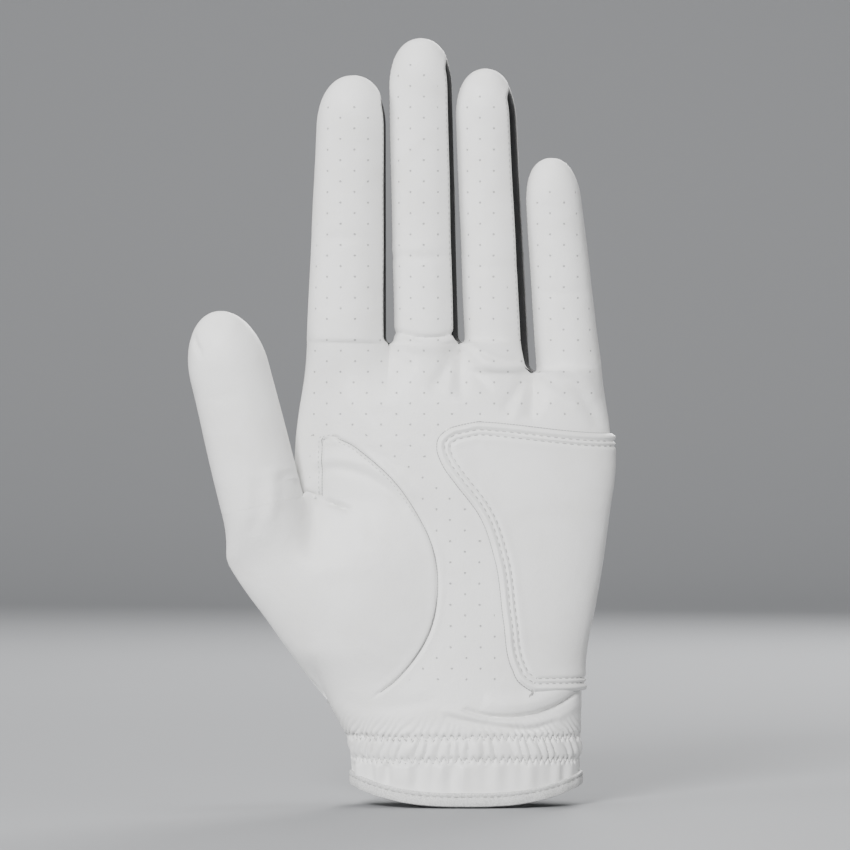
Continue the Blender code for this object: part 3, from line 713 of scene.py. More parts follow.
def seam_lift(point):
    """The stitched seam of the thumb's leather, as a valley between two soft swells."""
    x, z = point[..., 0], point[..., 2]
    away, along = distance_to(SEAM_LINE, x, z)
    fade = smooth(0.0, 0.07, along)
    gore, _ = distance_to(GORE_LINE, x, z)
    swell = 0.12 * MM * np.exp(-((away - 1.3) / 0.8) ** 2)
    return ((groove(away * MM, 0.60 * MM, 0.36 * MM) + swell) * fade
            + groove(gore * MM, 0.65 * MM, 0.36 * MM))


def hand_lift(point, column, row):
    """The palm below the fingers: folds, the thumb's seam and the side seam."""
    x, z = point[..., 0], point[..., 2]
    return (folds(point) + seam_lift(point) + side_seam(np.abs(point[..., 1]))
            + UNEVEN * wander(x, z, 11.0, 0.0))


def finger_lift(k, side):
    """The palm or back with its finger: as the hand, and along the finger's open seams."""
    def lift(point, column, row):
        x, z = point[..., 0], point[..., 2]
        total = UNEVEN * wander(x, z, 11.0, 0.0 if side == FRONT else 2.0)
        if side == FRONT:
            total = total + folds(point) + seam_lift(point)
        for edge, other in ((0, k - 1), (1, k + 1)):
            end = sheet_point(k, np.full(column.shape, float(edge)), row, side)
            if 0 <= other < len(FINGERS):
                away = np.linalg.norm(point - end, axis=-1)
                open_here = 1.0 - shut(row, WEB_HEIGHTS[min(k, other)])
                total = total + open_here * side_seam(away) * 0.8
            else:
                total = total + side_seam(np.abs(point[..., 1] - end[..., 1]))
        return total
    return lift


def palm_holes(point, column, row):
    """Air holes over the palm, between the thumb's seam and the heel patch."""
    x, z = point[..., 0], point[..., 2]
    seam, _ = distance_to(SEAM_LINE, x, z)
    gore, _ = distance_to(GORE_LINE, x, z)
    patch = np.where(z < 112 * MM, curve(PATCH_EDGE, z) - 2.2 * MM, 60 * MM)
    inside = (seam > 2.6) & (gore > 2.4) & (x < patch) & (x > -46 * MM) & (x < 38 * MM)
    return (inside & (z > 35 * MM)).astype(float)


def finger_holes(k):
    """Air holes up the middle of a finger, short of its base and its round tip."""
    digit = FINGERS[k]
    end = length_of(digit) + digit.base[2] * MM - 7.5 * MM

    def holes(point, column, row):
        inside = (column > 0.2) & (column < 0.82) & (row < end)
        return (inside & (row > digit.base[2] * MM + 3 * MM)).astype(float)
    return holes


def beside_cuts(start, end, size):
    """Even rows, with two close ones at each end so that the light runs on over the cut."""
    near = 0.1 * MM
    return steps((start, start + 2 * near, near), (start + 2 * near, end - 2 * near, size),
                 (end - 2 * near, end, near))


def rows_to_tip(digit, start, base, size, count):
    """Rows from start to the digit's tip, closer over its round cap."""
    cap = length_of(digit) - digit.cap[0] * MM
    over = np.sin(np.radians(np.linspace(0.0, 90.0, count))) ** (2.0 / digit.cap[1])
    over = over * digit.cap[0] * MM
    return np.concatenate((steps((start, start + 0.2 * MM, 0.1 * MM),
                                 (start + 0.2 * MM, base + cap, size))[:-1],
                           base + cap + over))


def finger_rows(digit, start, end):
    """Rows up a finger from start to end, None for its tip."""
    if end is not None:
        return beside_cuts(start, end, 0.8 * MM)
    return rows_to_tip(digit, start, digit.base[2] * MM, 0.9 * MM, 24)


def finger_sheet(k, side, shares, start, end):
    """One panel of finger k as a sheet; end is None for its tip."""
    digit = FINGERS[k]
    bm = bmesh.new()
    place = strip_lifted(k, side)
    lay(bm, shares, finger_rows(digit, start, end), place, side, finger_holes(k))
    return bm


# Palm and thumb

HEEL_TUBE, HEEL_GORE = 0.45, 0.55
HEEL_COLUMNS = np.concatenate((
    np.linspace(0.0, 1.0, 38) ** 1.5 * HEEL_TUBE, np.linspace(HEEL_TUBE, HEEL_GORE, 8)[1:],
    np.linspace(HEEL_GORE, 0.965, 26)[1:], [0.972, 0.979, 0.985, 0.990, 0.995, 1.0]))
THUMB_BACK_TUBE = 0.7
THUMB_BACK_COLUMNS = np.concatenate((
    np.linspace(0.0, 1.0, 34) ** 1.6 * THUMB_BACK_TUBE, np.linspace(THUMB_BACK_TUBE, 1.0, 13)[1:]))
TUBE_START = -3.5 * MM
HEEL_ROWS = steps((CUFF_TOP, 84 * MM, 0.9 * MM), (84 * MM, 91 * MM, 0.5 * MM))


def heel_skin(x, z, side):
    """The depth of the thumb's base, a quarter of a rounded section from edge to seam."""
    outer, outer_y = curve(THUMB_SIDE, z), curve(THUMB_SIDE_DEPTH, z)
    seam = curve(HEEL_SEAM if side == FRONT else THUMB_BACK_SEAM, z)
    meeting = hand_at(seam, z, side)[..., 1]
    share = np.clip((x - seam) / (outer - seam), 0.0, 1.0)
    mound = np.sin(np.pi * (1.0 - share)) * smooth(CUFF_TOP, 62 * MM, z) * 4.0 * MM
    return outer_y + (meeting - outer_y) * bulge(share) - mound * (side == FRONT)


def tube_distance(row):
    """How far along the thumb's tube a row of its base lies."""
    return (row - CROTCH[2]) / 1.03 + TUBE_START


def heel_place(side):
    """The thumb's base, whose upper rows turn into the thumb's tube at its outer columns."""
    front = side == FRONT
    tube_end = HEEL_TUBE if front else THUMB_BACK_TUBE
    gore_start = HEEL_GORE if front else 1.0
    first_angle, last_angle = (-90.0, 90.0) if front else (270.0, 150.0)
    crotch_x = CROTCH[0] if front else -53.3 * MM
    last_sine = rounded(np.sin(np.radians(90.0 if front else 30.0)))

    def place(column, row):
        tube = np.clip(column / tube_end, 0.0, 1.0)
        middle = np.clip((column - tube_end) / (gore_start - tube_end), 0.0, 1.0)
        gore = np.clip((column - gore_start) / max(1.0 - gore_start, 1e-9), 0.0, 1.0)
        outer = curve(THUMB_SIDE, row)
        seam = curve(HEEL_SEAM if front else THUMB_BACK_SEAM, row)
        rise = smooth(40 * MM, 84 * MM, row)
        inner = lerp(lerp(outer, seam, tube_end), crotch_x, rise)
        edge = lerp(lerp(outer, seam, gore_start), GORE_X, rise) if front else seam
        sine = rounded(np.sin(np.radians(lerp(-90.0, 90.0 if front else 30.0, tube))))
        spread = (1.0 + sine) / (1.0 + last_sine)
        x = np.where(column <= tube_end, lerp(outer, inner, spread),
                     np.where(column <= gore_start, lerp(inner, edge, middle),
                              lerp(edge, seam, gore)))
        z = row + 0.2449 * np.minimum(x - inner, 0.0) * smooth(62 * MM, CROTCH[2], row)
        distance = tube_distance(row)
        turned = smooth(-26 * MM, TUBE_START, distance)
        wrist = hand_at(x, row, side)[..., 1]
        heel = points(x, lerp(wrist, heel_skin(x, row, side),
                              smooth(CUFF_TOP, 46 * MM, row)), z)
        rim = digit_point(THUMB, np.full(row.shape, last_angle), distance)
        as_tube = lerp(heel, digit_point(THUMB, lerp(first_angle, last_angle, tube), distance),
                       turned[..., None])
        if front:
            palm = hand_at(x, z, FRONT)[..., 1]
            valley = lerp(CROTCH[1], palm, smooth(0.0, 6 * MM, x - inner))
            heel[..., 1] = lerp(heel[..., 1], valley, turned)
            away = rim - points(inner, CROTCH[1], row)
        else:
            away = rim - points(inner, heel_skin(inner, row, side), row)
        beside = heel + away * (turned * (1.0 - middle) * (row <= CROTCH[2] + 1e-9))[..., None]
        return np.where((column <= tube_end)[..., None], as_tube, beside)
    return place


def tube_place(side):
    """The thumb's tube: column 0 to 1 over its front or back half, rows along it."""
    first, last = (-90.0, 90.0) if side == FRONT else (270.0, 90.0)
    return lambda column, row: digit_point(THUMB, lerp(first, last, column), row)


THUMB_FOLDS = [Crease(fine_line([(-79.6, 137.6), (-78.6, 134.5), (-77.0, 131.2)]), 0.95, 0.55),
               Crease(fine_line([(-81.4, 120.0), (-75, 119.2), (-66, 120.4)]), 0.16, 1.6)]


def thumb_lift(side):
    def lift(point, column, row):
        x, z = point[..., 0], point[..., 2]
        total = UNEVEN * wander(x, z, 11.0, 0.0 if side == FRONT else 2.0)
        if side == FRONT:
            total = total + folds(point) + seam_lift(point)
            for fold in THUMB_FOLDS:
                away, along = distance_to(fold.line, x, z)
                fade = np.clip(4.0 * along * (1.0 - along), 0.0, 1.0) ** 0.5
                total = total - fold.depth * MM * fade * np.exp(-(away / fold.width) ** 2)
        return total
    return lift


def heel_lift(side):
    base = thumb_lift(side)

    def lift(point, column, row):
        away = np.abs(point[..., 1] - lerp(
            curve(THUMB_SIDE_DEPTH, row), centre_of(THUMB, tube_distance(row))[..., 1],
            smooth(-26 * MM, TUBE_START, tube_distance(row))))
        return base(point, column, row) + side_seam(away) * 0.7 * (column < 0.25)
    return lift


def tube_lift(side):
    base = thumb_lift(side)

    def lift(point, column, row):
        away = np.abs(point[..., 1] - centre_of(THUMB, row)[..., 1])
        inner = smooth(TUBE_START, 2 * MM, row)
        return base(point, column, row) + side_seam(away) * 0.7 * np.where(
            column < 0.5, 1.0, inner)
    return lift


def thumb_rows(start, end=None):
    if end is not None:
        return beside_cuts(start, end, 0.6 * MM)
    return rows_to_tip(THUMB, start, 0.0, 0.8 * MM, 26)


def palm_sheet():
    bm = bmesh.new()
    for k, digit in enumerate(FINGERS):
        base = digit.base[2] * MM
        rows = steps((TURN_HEIGHT, base - 6 * MM, 0.7 * MM),
                     (base - 6 * MM, base - 0.2 * MM, 0.4 * MM),
                     (base - 0.2 * MM, base, 0.1 * MM))
        lay(bm, FRONT_SHARES[k], rows, strip_lifted(k, FRONT), FRONT, palm_holes)
    first = float(turns_of(0, ARC_SHARE))
    kept = FRONT_SHARES[0][FRONT_SHARES[0] >= ARC_SHARE - 1e-9]
    turns = np.unique(np.round(np.concatenate(
        [turns_of(0, kept)] + [turns_of(k, FRONT_SHARES[k]) for k in (1, 2, 3)]), 9))

    def beside_seam(column, row):
        return hand_point(lerp(turn_at(curve(HEEL_SEAM, row), row), 90.0, column), row, FRONT)
    lay(bm, (turns - first) / (90.0 - first),
        steps((CUFF_TOP, 36 * MM, 0.45 * MM), (36 * MM, TURN_HEIGHT, 0.8 * MM)),
        lifted(beside_seam, hand_lift, FRONT), FRONT, palm_holes)
    strip = FRONT_SHARES[0][FRONT_SHARES[0] <= GORE_SHARE + 1e-9] / GORE_SHARE

    def beside_thumb(column, row):
        return hand_point(lerp(-90.0, turn_at(GORE_X, row), column), row, FRONT)
    lay(bm, strip, steps((STRIP_LOW, TURN_HEIGHT, 0.7 * MM)),
        lifted(beside_thumb, lambda p, c, r: hand_lift(p, c, r)
               - TUCK * (1.0 - smooth(90.5 * MM, 94 * MM, r)), FRONT),
        FRONT, palm_holes)
    return bm


def thumb_base_sheet(side):
    bm = bmesh.new()
    place = lifted(heel_place(side), heel_lift(side), side)
    if side == FRONT:
        lay(bm, HEEL_COLUMNS, HEEL_ROWS, place)
        lay(bm, HEEL_COLUMNS[HEEL_COLUMNS >= HEEL_GORE - 1e-9],
            steps((CROTCH[2], GORE_TOP, 0.7 * MM)), place)
        tube = HEEL_COLUMNS[HEEL_COLUMNS <= HEEL_TUBE + 1e-9] / HEEL_TUBE
    else:
        lay(bm, THUMB_BACK_COLUMNS, HEEL_ROWS, place, BACK)
        tube = THUMB_BACK_COLUMNS[THUMB_BACK_COLUMNS <= THUMB_BACK_TUBE + 1e-9]
        tube = tube / THUMB_BACK_TUBE * 2.0 / 3.0
        inner = np.linspace(2.0 / 3.0, 1.0, 12)
        lay(bm, inner, steps((-12 * MM, TUBE_START, 0.7 * MM)),
            lifted(tube_place(BACK), tube_lift(BACK), BACK), BACK)
        tube = np.concatenate((tube, inner[1:]))
    lay(bm, tube, thumb_rows(TUBE_START, THUMB.split * MM),
        lifted(tube_place(side), tube_lift(side), side), side)
    if side == FRONT:
        soften(bm)
    return bm


def soften(bm):
    """Eases the sharp fold that runs down from the thumb's crotch."""
    bmesh.ops.remove_doubles(bm, verts=bm.verts, dist=WELD)
    low, high = Vector((-49.5 * MM, -14 * MM, 66 * MM)), Vector(CROTCH)
    for reach, count in ((7.5, 16), (4.5, 16), (2.6, 8)):
        near = []
        for vert in bm.verts:
            spot, share = intersect_point_line(vert.co, low, high)
            spot = low if share < 0.0 else high if share > 1.0 else spot
            off = vert.co - spot
            off.y = 0.0
            if off.length < reach * MM and not vert.is_boundary and vert.co.z < 96 * MM:
                near.append(vert)
        for _ in range(count):
            bmesh.ops.smooth_vert(bm, verts=near, factor=0.5, use_axis_x=True,
                                  use_axis_y=True, use_axis_z=True)


def thumb_tip_sheet(side):
    bm = bmesh.new()
    count = 35 if side == FRONT else 38
    lay(bm, np.linspace(0.0, 1.0, count), thumb_rows(THUMB.split * MM),
        lifted(tube_place(side), tube_lift(side), side), side)
    return bm


# Back

def back_hem(turn):
    return lerp(4.6 * MM, 5.6 * MM, np.abs(np.sin(np.radians(turn))))


def palm_hem(turn):
    return 5.6 * MM * np.abs(np.sin(np.radians(turn))) ** 2.4


def slit_half(row):
    """Half the opening slit's width at this height: round at its top."""
    over = np.clip((row - SLIT_TOP) / SLIT_HALF, 0.0, 1.0)
    return SLIT_HALF * np.sqrt(1.0 - over ** 2)


def back_lift(point, column, row):
    x, z = point[..., 0], point[..., 2]
    return (side_seam(np.abs(point[..., 1])) + UNEVEN * wander(x, z, 11.0, 2.0)
            + 0.12 * MM * wander(x, z, 6.0, 5.0) * (1.0 - smooth(10 * MM, 60 * MM, z)))


def back_sheet():
    bm = bmesh.new()
    for k, digit in enumerate(FINGERS):
        base = digit.base[2] * MM
        rows = steps((TURN_HEIGHT, base - 6 * MM, 0.9 * MM),
                     (base - 6 * MM, base - 0.2 * MM, 0.5 * MM),
                     (base - 0.2 * MM, base, 0.1 * MM))
        lay(bm, BACK_SHARES[k], rows, strip_lifted(k, BACK), BACK)
    seam_turn = float(turns_of(0, BACK_SEAM_SHARE))
    slit_turn = float(turns_of(2, SLIT_SHARE))
    turns = np.unique(np.round(np.concatenate(
        [turns_of(k, BACK_SHARES[k]) for k in range(4)]), 9))
    low = 7.5 * MM
    top = steps((low, 47 * MM, 0.9 * MM), (47 * MM, SLIT_TOP, 0.5 * MM),
                (SLIT_TOP, SLIT_TOP + SLIT_HALF, 0.16 * MM),
                (SLIT_TOP + SLIT_HALF, TURN_HEIGHT, 0.9 * MM))

    def thumb_edge(row):
        return turn_at(lerp(curve(THUMB_BACK_SEAM, row), BACK_SEAM_X,
                            smooth(93 * MM, TURN_HEIGHT, row)), row)
    for first, last, edges in (
            (seam_turn, slit_turn, lambda row: (thumb_edge(row), turn_at(
                SLIT_X - slit_half(row), row))),
            (slit_turn, 90.0, lambda row: (turn_at(SLIT_X + slit_half(row), row), 90.0))):
        part = turns[(turns >= first - 1e-6) & (turns <= last + 1e-6)]

        def place(column, row, edges=edges):
            left, right = edges(row)
            return hand_point(lerp(left, right, column), row, BACK)
        lay(bm, (part - first) / (last - first), top,
            lifted(place, back_lift, BACK), BACK)
    part = turns[turns <= seam_turn + 1e-6]

    def beside_thumb(column, row):
        return hand_point(lerp(-90.0, thumb_edge(row), column), row, BACK)
    columns = (part + 90.0) / (seam_turn + 90.0)
    lay(bm, columns, steps((low, CUFF_TOP, 0.9 * MM)),
        lifted(beside_thumb, back_lift, BACK), BACK)
    lay(bm, columns, steps((STRIP_LOW, TURN_HEIGHT, 0.9 * MM)),
        lifted(beside_thumb, lambda p, c, r: back_lift(p, c, r)
               - TUCK * (1.0 - smooth(91 * MM, 94 * MM, r)), BACK), BACK)
    return bm


# Fourchettes

def fork_point(k, right, depth, height):
    """The stretch side of a finger: depth 0 at the front seam, 1 at the back one."""
    digit = FINGERS[k]
    distance = height - digit.base[2] * MM
    first = seam_angle(digit, FRONT, right, distance) + (0.0 if right else 360.0)
    last = seam_angle(digit, BACK, right, distance)
    edge = np.full(height.shape, 1.0 if right else 0.0)
    own = digit_point(digit, lerp(first, last, depth), distance)
    front = sheet_point(k, edge, height, FRONT)
    back = sheet_point(k, edge, height, BACK)
    shift = lerp(front - digit_point(digit, first, distance),
                 back - digit_point(digit, last, distance), depth[..., None])
    point = own + shift
    closing = shut(height, WEB_HEIGHTS[k if right else k - 1])[..., None]
    point = lerp(point, lerp(front, back, depth[..., None]), closing)
    inward = centre_of(digit, distance) - point
    inward[..., 2] = 0.0
    inward = inward / np.maximum(np.linalg.norm(inward, axis=-1), 1e-12)[..., None]
    return point + inward * (0.45 * MM * (1.0 - closing))


DEPTHS = np.linspace(-0.06, 1.06, 15)


def fork_sheet(k, right, low, high, bm=None):
    bm = bm or bmesh.new()
    lay(bm, DEPTHS, steps((low, high, 0.8 * MM if high - low > 4 * MM else 0.25 * MM)),
        lambda c, r: fork_point(k, right, c, r), FRONT if right else BACK)
    return bm


# Stitches

def along_path(path, pitch):
    """Evenly spaced points on a fine path, with the directions there."""
    path = np.asarray(path, float)
    gaps = np.linalg.norm(np.diff(path, axis=0), axis=1)
    far = np.concatenate(([0.0], np.cumsum(gaps)))
    places = np.arange(pitch / 2, far[-1] - pitch / 3, pitch)
    at = np.stack([np.interp(places, far, path[:, i]) for i in range(3)], axis=1)
    ahead = np.stack([np.interp(places + 0.3 * MM, far, path[:, i]) for i in range(3)], axis=1)
    behind = np.stack([np.interp(places - 0.3 * MM, far, path[:, i]) for i in range(3)], axis=1)
    way = ahead - behind
    return at, way / np.maximum(np.linalg.norm(way, axis=1), 1e-12)[:, None], places, far


def stitch_row(bm, path, normals, pitch, length, width, sink=0.0):
    """A row of plump stitches along a path on the leather."""
    at, way, places, far = along_path(path, pitch)
    up = np.stack([np.interp(places, far, np.asarray(normals)[:, i]) for i in range(3)], axis=1)
    size = Matrix.Diagonal((length / 2, width / 2, width / 2.6, 1.0))
    for spot, ahead, out in zip(at, way, up):
        x_axis, z_axis = Vector(ahead).normalized(), Vector(out).normalized()
        y_axis = z_axis.cross(x_axis).normalized()
        z_axis = x_axis.cross(y_axis)
        turn = Matrix((x_axis, y_axis, z_axis)).transposed().to_4x4()
        place = Matrix.Translation(Vector(spot) - z_axis * sink)
        bmesh.ops.create_uvsphere(bm, u_segments=6, v_segments=5, radius=1.0,
                                  matrix=place @ turn @ size)


def traced(place, column, row):
    """The points and outward normals of a lifted place along a line of columns and rows."""
    column, row = np.atleast_2d(np.asarray(column, float)), np.atleast_2d(np.asarray(row, float))
    column, row = np.broadcast_arrays(column, row)
    point = place(column, row)[0]
    right = place(column + 0.002, row)[0] - place(column - 0.002, row)[0]
    up = place(column, row + 0.1 * MM)[0] - place(column, row - 0.1 * MM)[0]
    normal = np.cross(right, up)
    return point, normal / np.maximum(np.linalg.norm(normal, axis=1), 1e-15)[:, None]


def finger_stitches(bm, k, side, edge, low, high):
    """The row along one seam of finger k's front or back panel."""
    rows = np.arange(low, high, 0.4 * MM)
    place = strip_lifted(k, side)
    start = sheet_point(k, np.zeros(rows.shape), rows, side)
    end = sheet_point(k, np.full(rows.shape, 1.0), rows, side)
    wide = np.linalg.norm(end - start, axis=-1) * 1.15
    inset = 0.95 * MM / np.maximum(wide, 4 * MM)
    path, normals = traced(place, np.where(edge, 1.0 - inset, inset), rows)
    stitch_row(bm, path, normals * -side, 1.7 * MM, 1.15 * MM, 0.34 * MM, 0.03 * MM)


def offset_line(line, inset):
    """The flat line's points, moved this far to its right."""
    way = np.gradient(line, axis=0)
    way = way / np.linalg.norm(way, axis=1)[:, None]
    return line + np.stack((way[:, 1], -way[:, 0]), axis=1) * inset


def on_palm(spots):
    """The palm's points at these (x, z) places, and the outward directions there."""
    return (hand_at(spots[:, 0], spots[:, 1], FRONT),
            surface_normal(spots[:, 0], spots[:, 1], FRONT))


# Heel patch

PATCH_LIFT = 1.0 * MM
PATCH_ROWS = steps((33.4 * MM, 39 * MM, 0.35 * MM), (39 * MM, 102 * MM, 0.7 * MM),
                   (102 * MM, 109 * MM, 0.3 * MM))


def patch_spot(column, row):
    """The patch's place across and up: its top edge slopes down to the side seam."""
    left = curve(PATCH_EDGE, row)
    right = lerp(curve(RIGHT_EDGE, row), left, 0.002)
    x = lerp(left, right, column)
    top = 3.4 * MM * (1.0 - smooth(0.0, 42 * MM, x))
    return x, row + top * smooth(92 * MM, 109 * MM, row)


PATCH_OUTLINE = np.array([np.array(patch_spot(c, r)) / MM for c, r in (
    [(c, 33.4 * MM) for c in np.linspace(0.96, 0.0, 10)]
    + [(0.0, r) for r in np.linspace(33.4, 109.0, 50) * MM]
    + [(c, 109.0 * MM) for c in np.linspace(0.0, 1.0, 24)[1:]])])


def patch_lift(point, column, row):
    away, _ = distance_to(PATCH_OUTLINE, point[..., 0], point[..., 2])
    lift = (-0.70 * np.exp(-(away / 0.42) ** 2) + 0.50 * np.exp(-((away - 1.15) / 0.65) ** 2)
            - 0.42 * np.exp(-((away - 2.3) / 0.40) ** 2)
            + 0.26 * np.exp(-((away - 3.05) / 0.42) ** 2)
            - 0.42 * np.exp(-((away - 3.8) / 0.40) ** 2)
            + 0.18 * np.exp(-((away - 5.0) / 1.2) ** 2))
    side = side_seam(np.abs(point[..., 1])) * 0.8
    return (PATCH_LIFT + lift * MM + side
            + 0.16 * MM * wander(point[..., 0], point[..., 2], 13.0, 4.0))


def patch_place(column, row):
    x, z = patch_spot(column, row)
    return hand_at(x, z, FRONT)


def patch_sheet():
    bm = bmesh.new()
    columns = np.concatenate((np.linspace(0.0, 0.2, 24), np.linspace(0.2, 0.96, 40)[1:],
                              [0.975, 0.987, 0.995, 1.0]))
    lay(bm, columns, PATCH_ROWS, lifted(patch_place, patch_lift, FRONT, 0.001, 0.1 * MM))
    return bm


def patch_stitches(bm):
    """Two rows inside the patch's border, parallel to its edge."""
    for inset in (2.3, 3.8):
        spots = offset_line(fine_line(PATCH_OUTLINE, 500), inset)
        away, _ = distance_to(PATCH_OUTLINE, spots[:, 0] * MM, spots[:, 1] * MM)
        spots = spots[(away > inset - 0.12) & (spots[:, 0] < curve(
            RIGHT_EDGE, spots[:, 1] * MM) / MM - 0.6)] * MM
        surface, normal = on_palm(spots)
        lift = patch_lift(surface, None, None)[:, None]
        stitch_row(bm, surface + normal * lift, normal, 2.2 * MM, 1.45 * MM, 0.42 * MM,
                   -0.02 * MM)


def patch_edge(bm):
    """A dark grey cord along the patch's edge: painted shade for the thin shadow at its border,
    partly the cut edge's own darker tone.
    """
    line = fine_line(PATCH_OUTLINE, 500) * MM
    line = line[line[:, 0] < curve(RIGHT_EDGE, line[:, 1]) - 0.8 * MM]
    surface, normal = on_palm(line)
    stitch_row(bm, surface + normal * 0.22 * MM, normal, 0.9 * MM, 1.2 * MM, 0.40 * MM)


def thumb_seam_line(bm):
    """A fine dark grey cord along the thumb's seam join: painted shade for the shadow in the seam.
    """
    for line in (SEAM_LINE[3:], fine_line(GORE_LINE, 30)):
        line = fine_line(line, 400) * MM
        surface, normal = on_palm(line)
        depth = seam_lift(surface)[:, None] + folds(surface)[:, None]
        stitch_row(bm, surface + normal * (depth + 0.10 * MM), normal, 0.9 * MM, 1.1 * MM,
                   0.26 * MM)


def surface_normal(x, z, side):
    """The outward direction of the hand form's palm or back."""
    step = 0.2 * MM
    right = hand_at(x + step, z, side) - hand_at(x - step, z, side)
    up = hand_at(x, z + step, side) - hand_at(x, z - step, side)
    normal = np.cross(right, up) * -side
    return normal / np.linalg.norm(normal, axis=-1)[..., None]


def crotch_piping(bm):
    """The rolled end of the seam at the thumb's crotch."""
    spots = np.linspace((-47.0, 91.2), (-43.4, 89.9), 40) * MM
    surface, normal = on_palm(spots)
    stitch_row(bm, surface + normal * 0.45 * MM, normal, 1.25 * MM, 1.6 * MM, 1.0 * MM)


def arc_stitches(bm):
    """The fine row beside the thumb's seam."""
    for line, inset in ((SEAM_LINE[2:], -0.85), (fine_line(GORE_LINE, 30), 0.8)):
        spots = offset_line(fine_line(line, 400), inset) * MM
        surface, normal = on_palm(spots)
        lift = hand_lift(surface, None, None)[:, None]
        stitch_row(bm, surface + normal * lift, normal, 1.5 * MM, 0.95 * MM, 0.27 * MM,
                   0.03 * MM)


# Wrist

ROW_LOW, ROW_HIGH = 13.6, 20.1


def girth(point):
    """The distance round the wrist's palm side from its middle, in mm."""
    x, y = point[..., 0] / MM, point[..., 1] / MM
    return x + np.sign(x) * np.maximum(19.0 - np.abs(y), 0.0) * 0.75


def zigzag(around, row_height):
    """The height of the zigzag elastic row here, in mm."""
    wave = np.abs(((around / 2.3) % 1.0) * 2.0 - 1.0) * 2.0 - 1.0
    return row_height + 0.95 * wave + 0.25 * np.sin(around * 0.11 + row_height)


def ruche(point, column, row):
    """Gathers between the elastic rows, pleats above them and long soft folds below."""
    around, z = girth(point), point[..., 2] / MM
    lean = 0.75 * np.tanh(around / 22.0)
    drift = 0.9 * np.sin(around * 0.23 + 1.0) + 0.6 * np.sin(around * 0.61 + 2.0)
    mid = 0.5 * (ROW_LOW + ROW_HIGH)
    puff = np.abs(np.cos(np.pi * (around + drift + lean * (z - mid) * 0.8) / 3.7)) ** 0.75
    strength = 0.78 + 0.22 * np.sin(around * 0.31 + 0.5)
    between = np.clip((z - ROW_LOW) / (ROW_HIGH - ROW_LOW), 0.0, 1.0)
    lens = np.sin(np.pi * between) ** 0.7
    pleat = np.abs(np.cos(np.pi * (around + drift + lean * (z - ROW_HIGH) * 1.7) / 2.9)) ** 0.8
    above = (np.exp(-np.maximum(z - ROW_HIGH, 0.0) / 2.6)
             * smooth(ROW_HIGH - 0.2, ROW_HIGH + 1.4, z))
    above = above * (0.45 + 0.55 * smooth(9.0, 24.0, np.abs(around)))
    wide = (np.cos(around * 0.62 + 0.7 * np.sin(around * 0.19)) + 0.6 * np.cos(around * 1.13 + 2.0)
            + 0.5 * np.cos(around * 0.33))
    below = smooth(ROW_LOW - 0.3, ROW_LOW - 2.4, z) * (0.35 + 0.65 * smooth(4.0, 9.5, z))
    below = below * (0.5 + 0.5 * smooth(12.0, -14.0, around))
    lift = 1.35 * lens * (puff - 0.42) * strength + 1.2 * above * (pleat - 0.5)
    lift = lift + 0.52 * below * wide
    for height in (ROW_LOW, ROW_HIGH):
        lift = lift - 0.55 * np.exp(-((z - zigzag(around, height)) / 0.5) ** 2)
        lift = lift - 0.25 * np.exp(-((z - height) / 1.1) ** 2)
    edge = smooth(0.0, 3.0 * MM, np.abs(point[..., 1]))
    return lift * MM * edge * smooth(28.0, 25.6, z)


def cuff_lift(point, column, row):
    return hand_lift(point, column, row) + ruche(point, column, row)


CUFF_PLACE = lifted(lambda c, r: hand_point(c, r, FRONT), cuff_lift, FRONT, 0.2, 0.1 * MM)


def cuff_sheet():
    bm = bmesh.new()
    turns = np.degrees(np.arcsin(np.linspace(-1.0, 1.0, 250)))
    turns = lerp(turns, np.linspace(-90.0, 90.0, 250), 0.5)
    start = np.interp(turns, turns, palm_hem(turns)) + 2.0 * MM

    def place(column, row):
        low = np.interp(column, turns, start)
        return CUFF_PLACE(column, lerp(low, CUFF_TOP, row))
    lay(bm, turns, np.linspace(0.0, 1.0, 66), place)
    return bm


def cuff_stitches(bm):
    """Zigzag rows over the two elastics."""
    for height in (ROW_LOW, ROW_HIGH):
        turns = np.linspace(-86.0, 86.0, 900)
        flat = hand_point(turns, np.full(turns.shape, height * MM), FRONT)
        rows = zigzag(girth(flat), height) * MM
        point = CUFF_PLACE(turns[None], rows[None])[0]
        normal = surface_normal(point[:, 0], np.full(turns.shape, height * MM), FRONT)
        stitch_row(bm, point, normal, 1.24 * MM, 1.05 * MM, 0.42 * MM, -0.06 * MM)


def wrist_ring(count):
    """Angles round the wrist from one side of the slit to the other, by the palm."""
    first = float(turn_at(SLIT_X + SLIT_HALF + 0.4 * MM, 2 * MM))
    last = float(turn_at(SLIT_X - SLIT_HALF - 0.4 * MM, 2 * MM))
    return np.linspace(-180.0 - last, 180.0 - first, count)


def wrist_spot(angle, height_of):
    """The wrist's surface and outward direction at an angle right round it."""
    front = np.abs(angle) <= 90.0
    turn = np.where(front, angle, np.copysign(180.0, angle) - angle)
    height = height_of(np.where(front, palm_hem(turn), back_hem(turn)))
    point = np.where(front[..., None], hand_point(turn, height, FRONT),
                     hand_point(turn, height, BACK))
    radians = np.radians(angle)
    out = points(np.sin(radians), -np.cos(radians), np.zeros(angle.shape))
    return point, out


BAND = [(-1.5, 0.5), (-0.9, 0.06), (0.1, 0.0), (0.95, 0.35), (1.15, 1.2), (1.05, 2.3),
        (0.78, 3.0), (0.98, 3.5), (0.85, 3.95), (0.3, 4.15), (-0.3, 4.0), (-1.0, 3.7),
        (-1.4, 2.6), (-1.6, 1.4)]


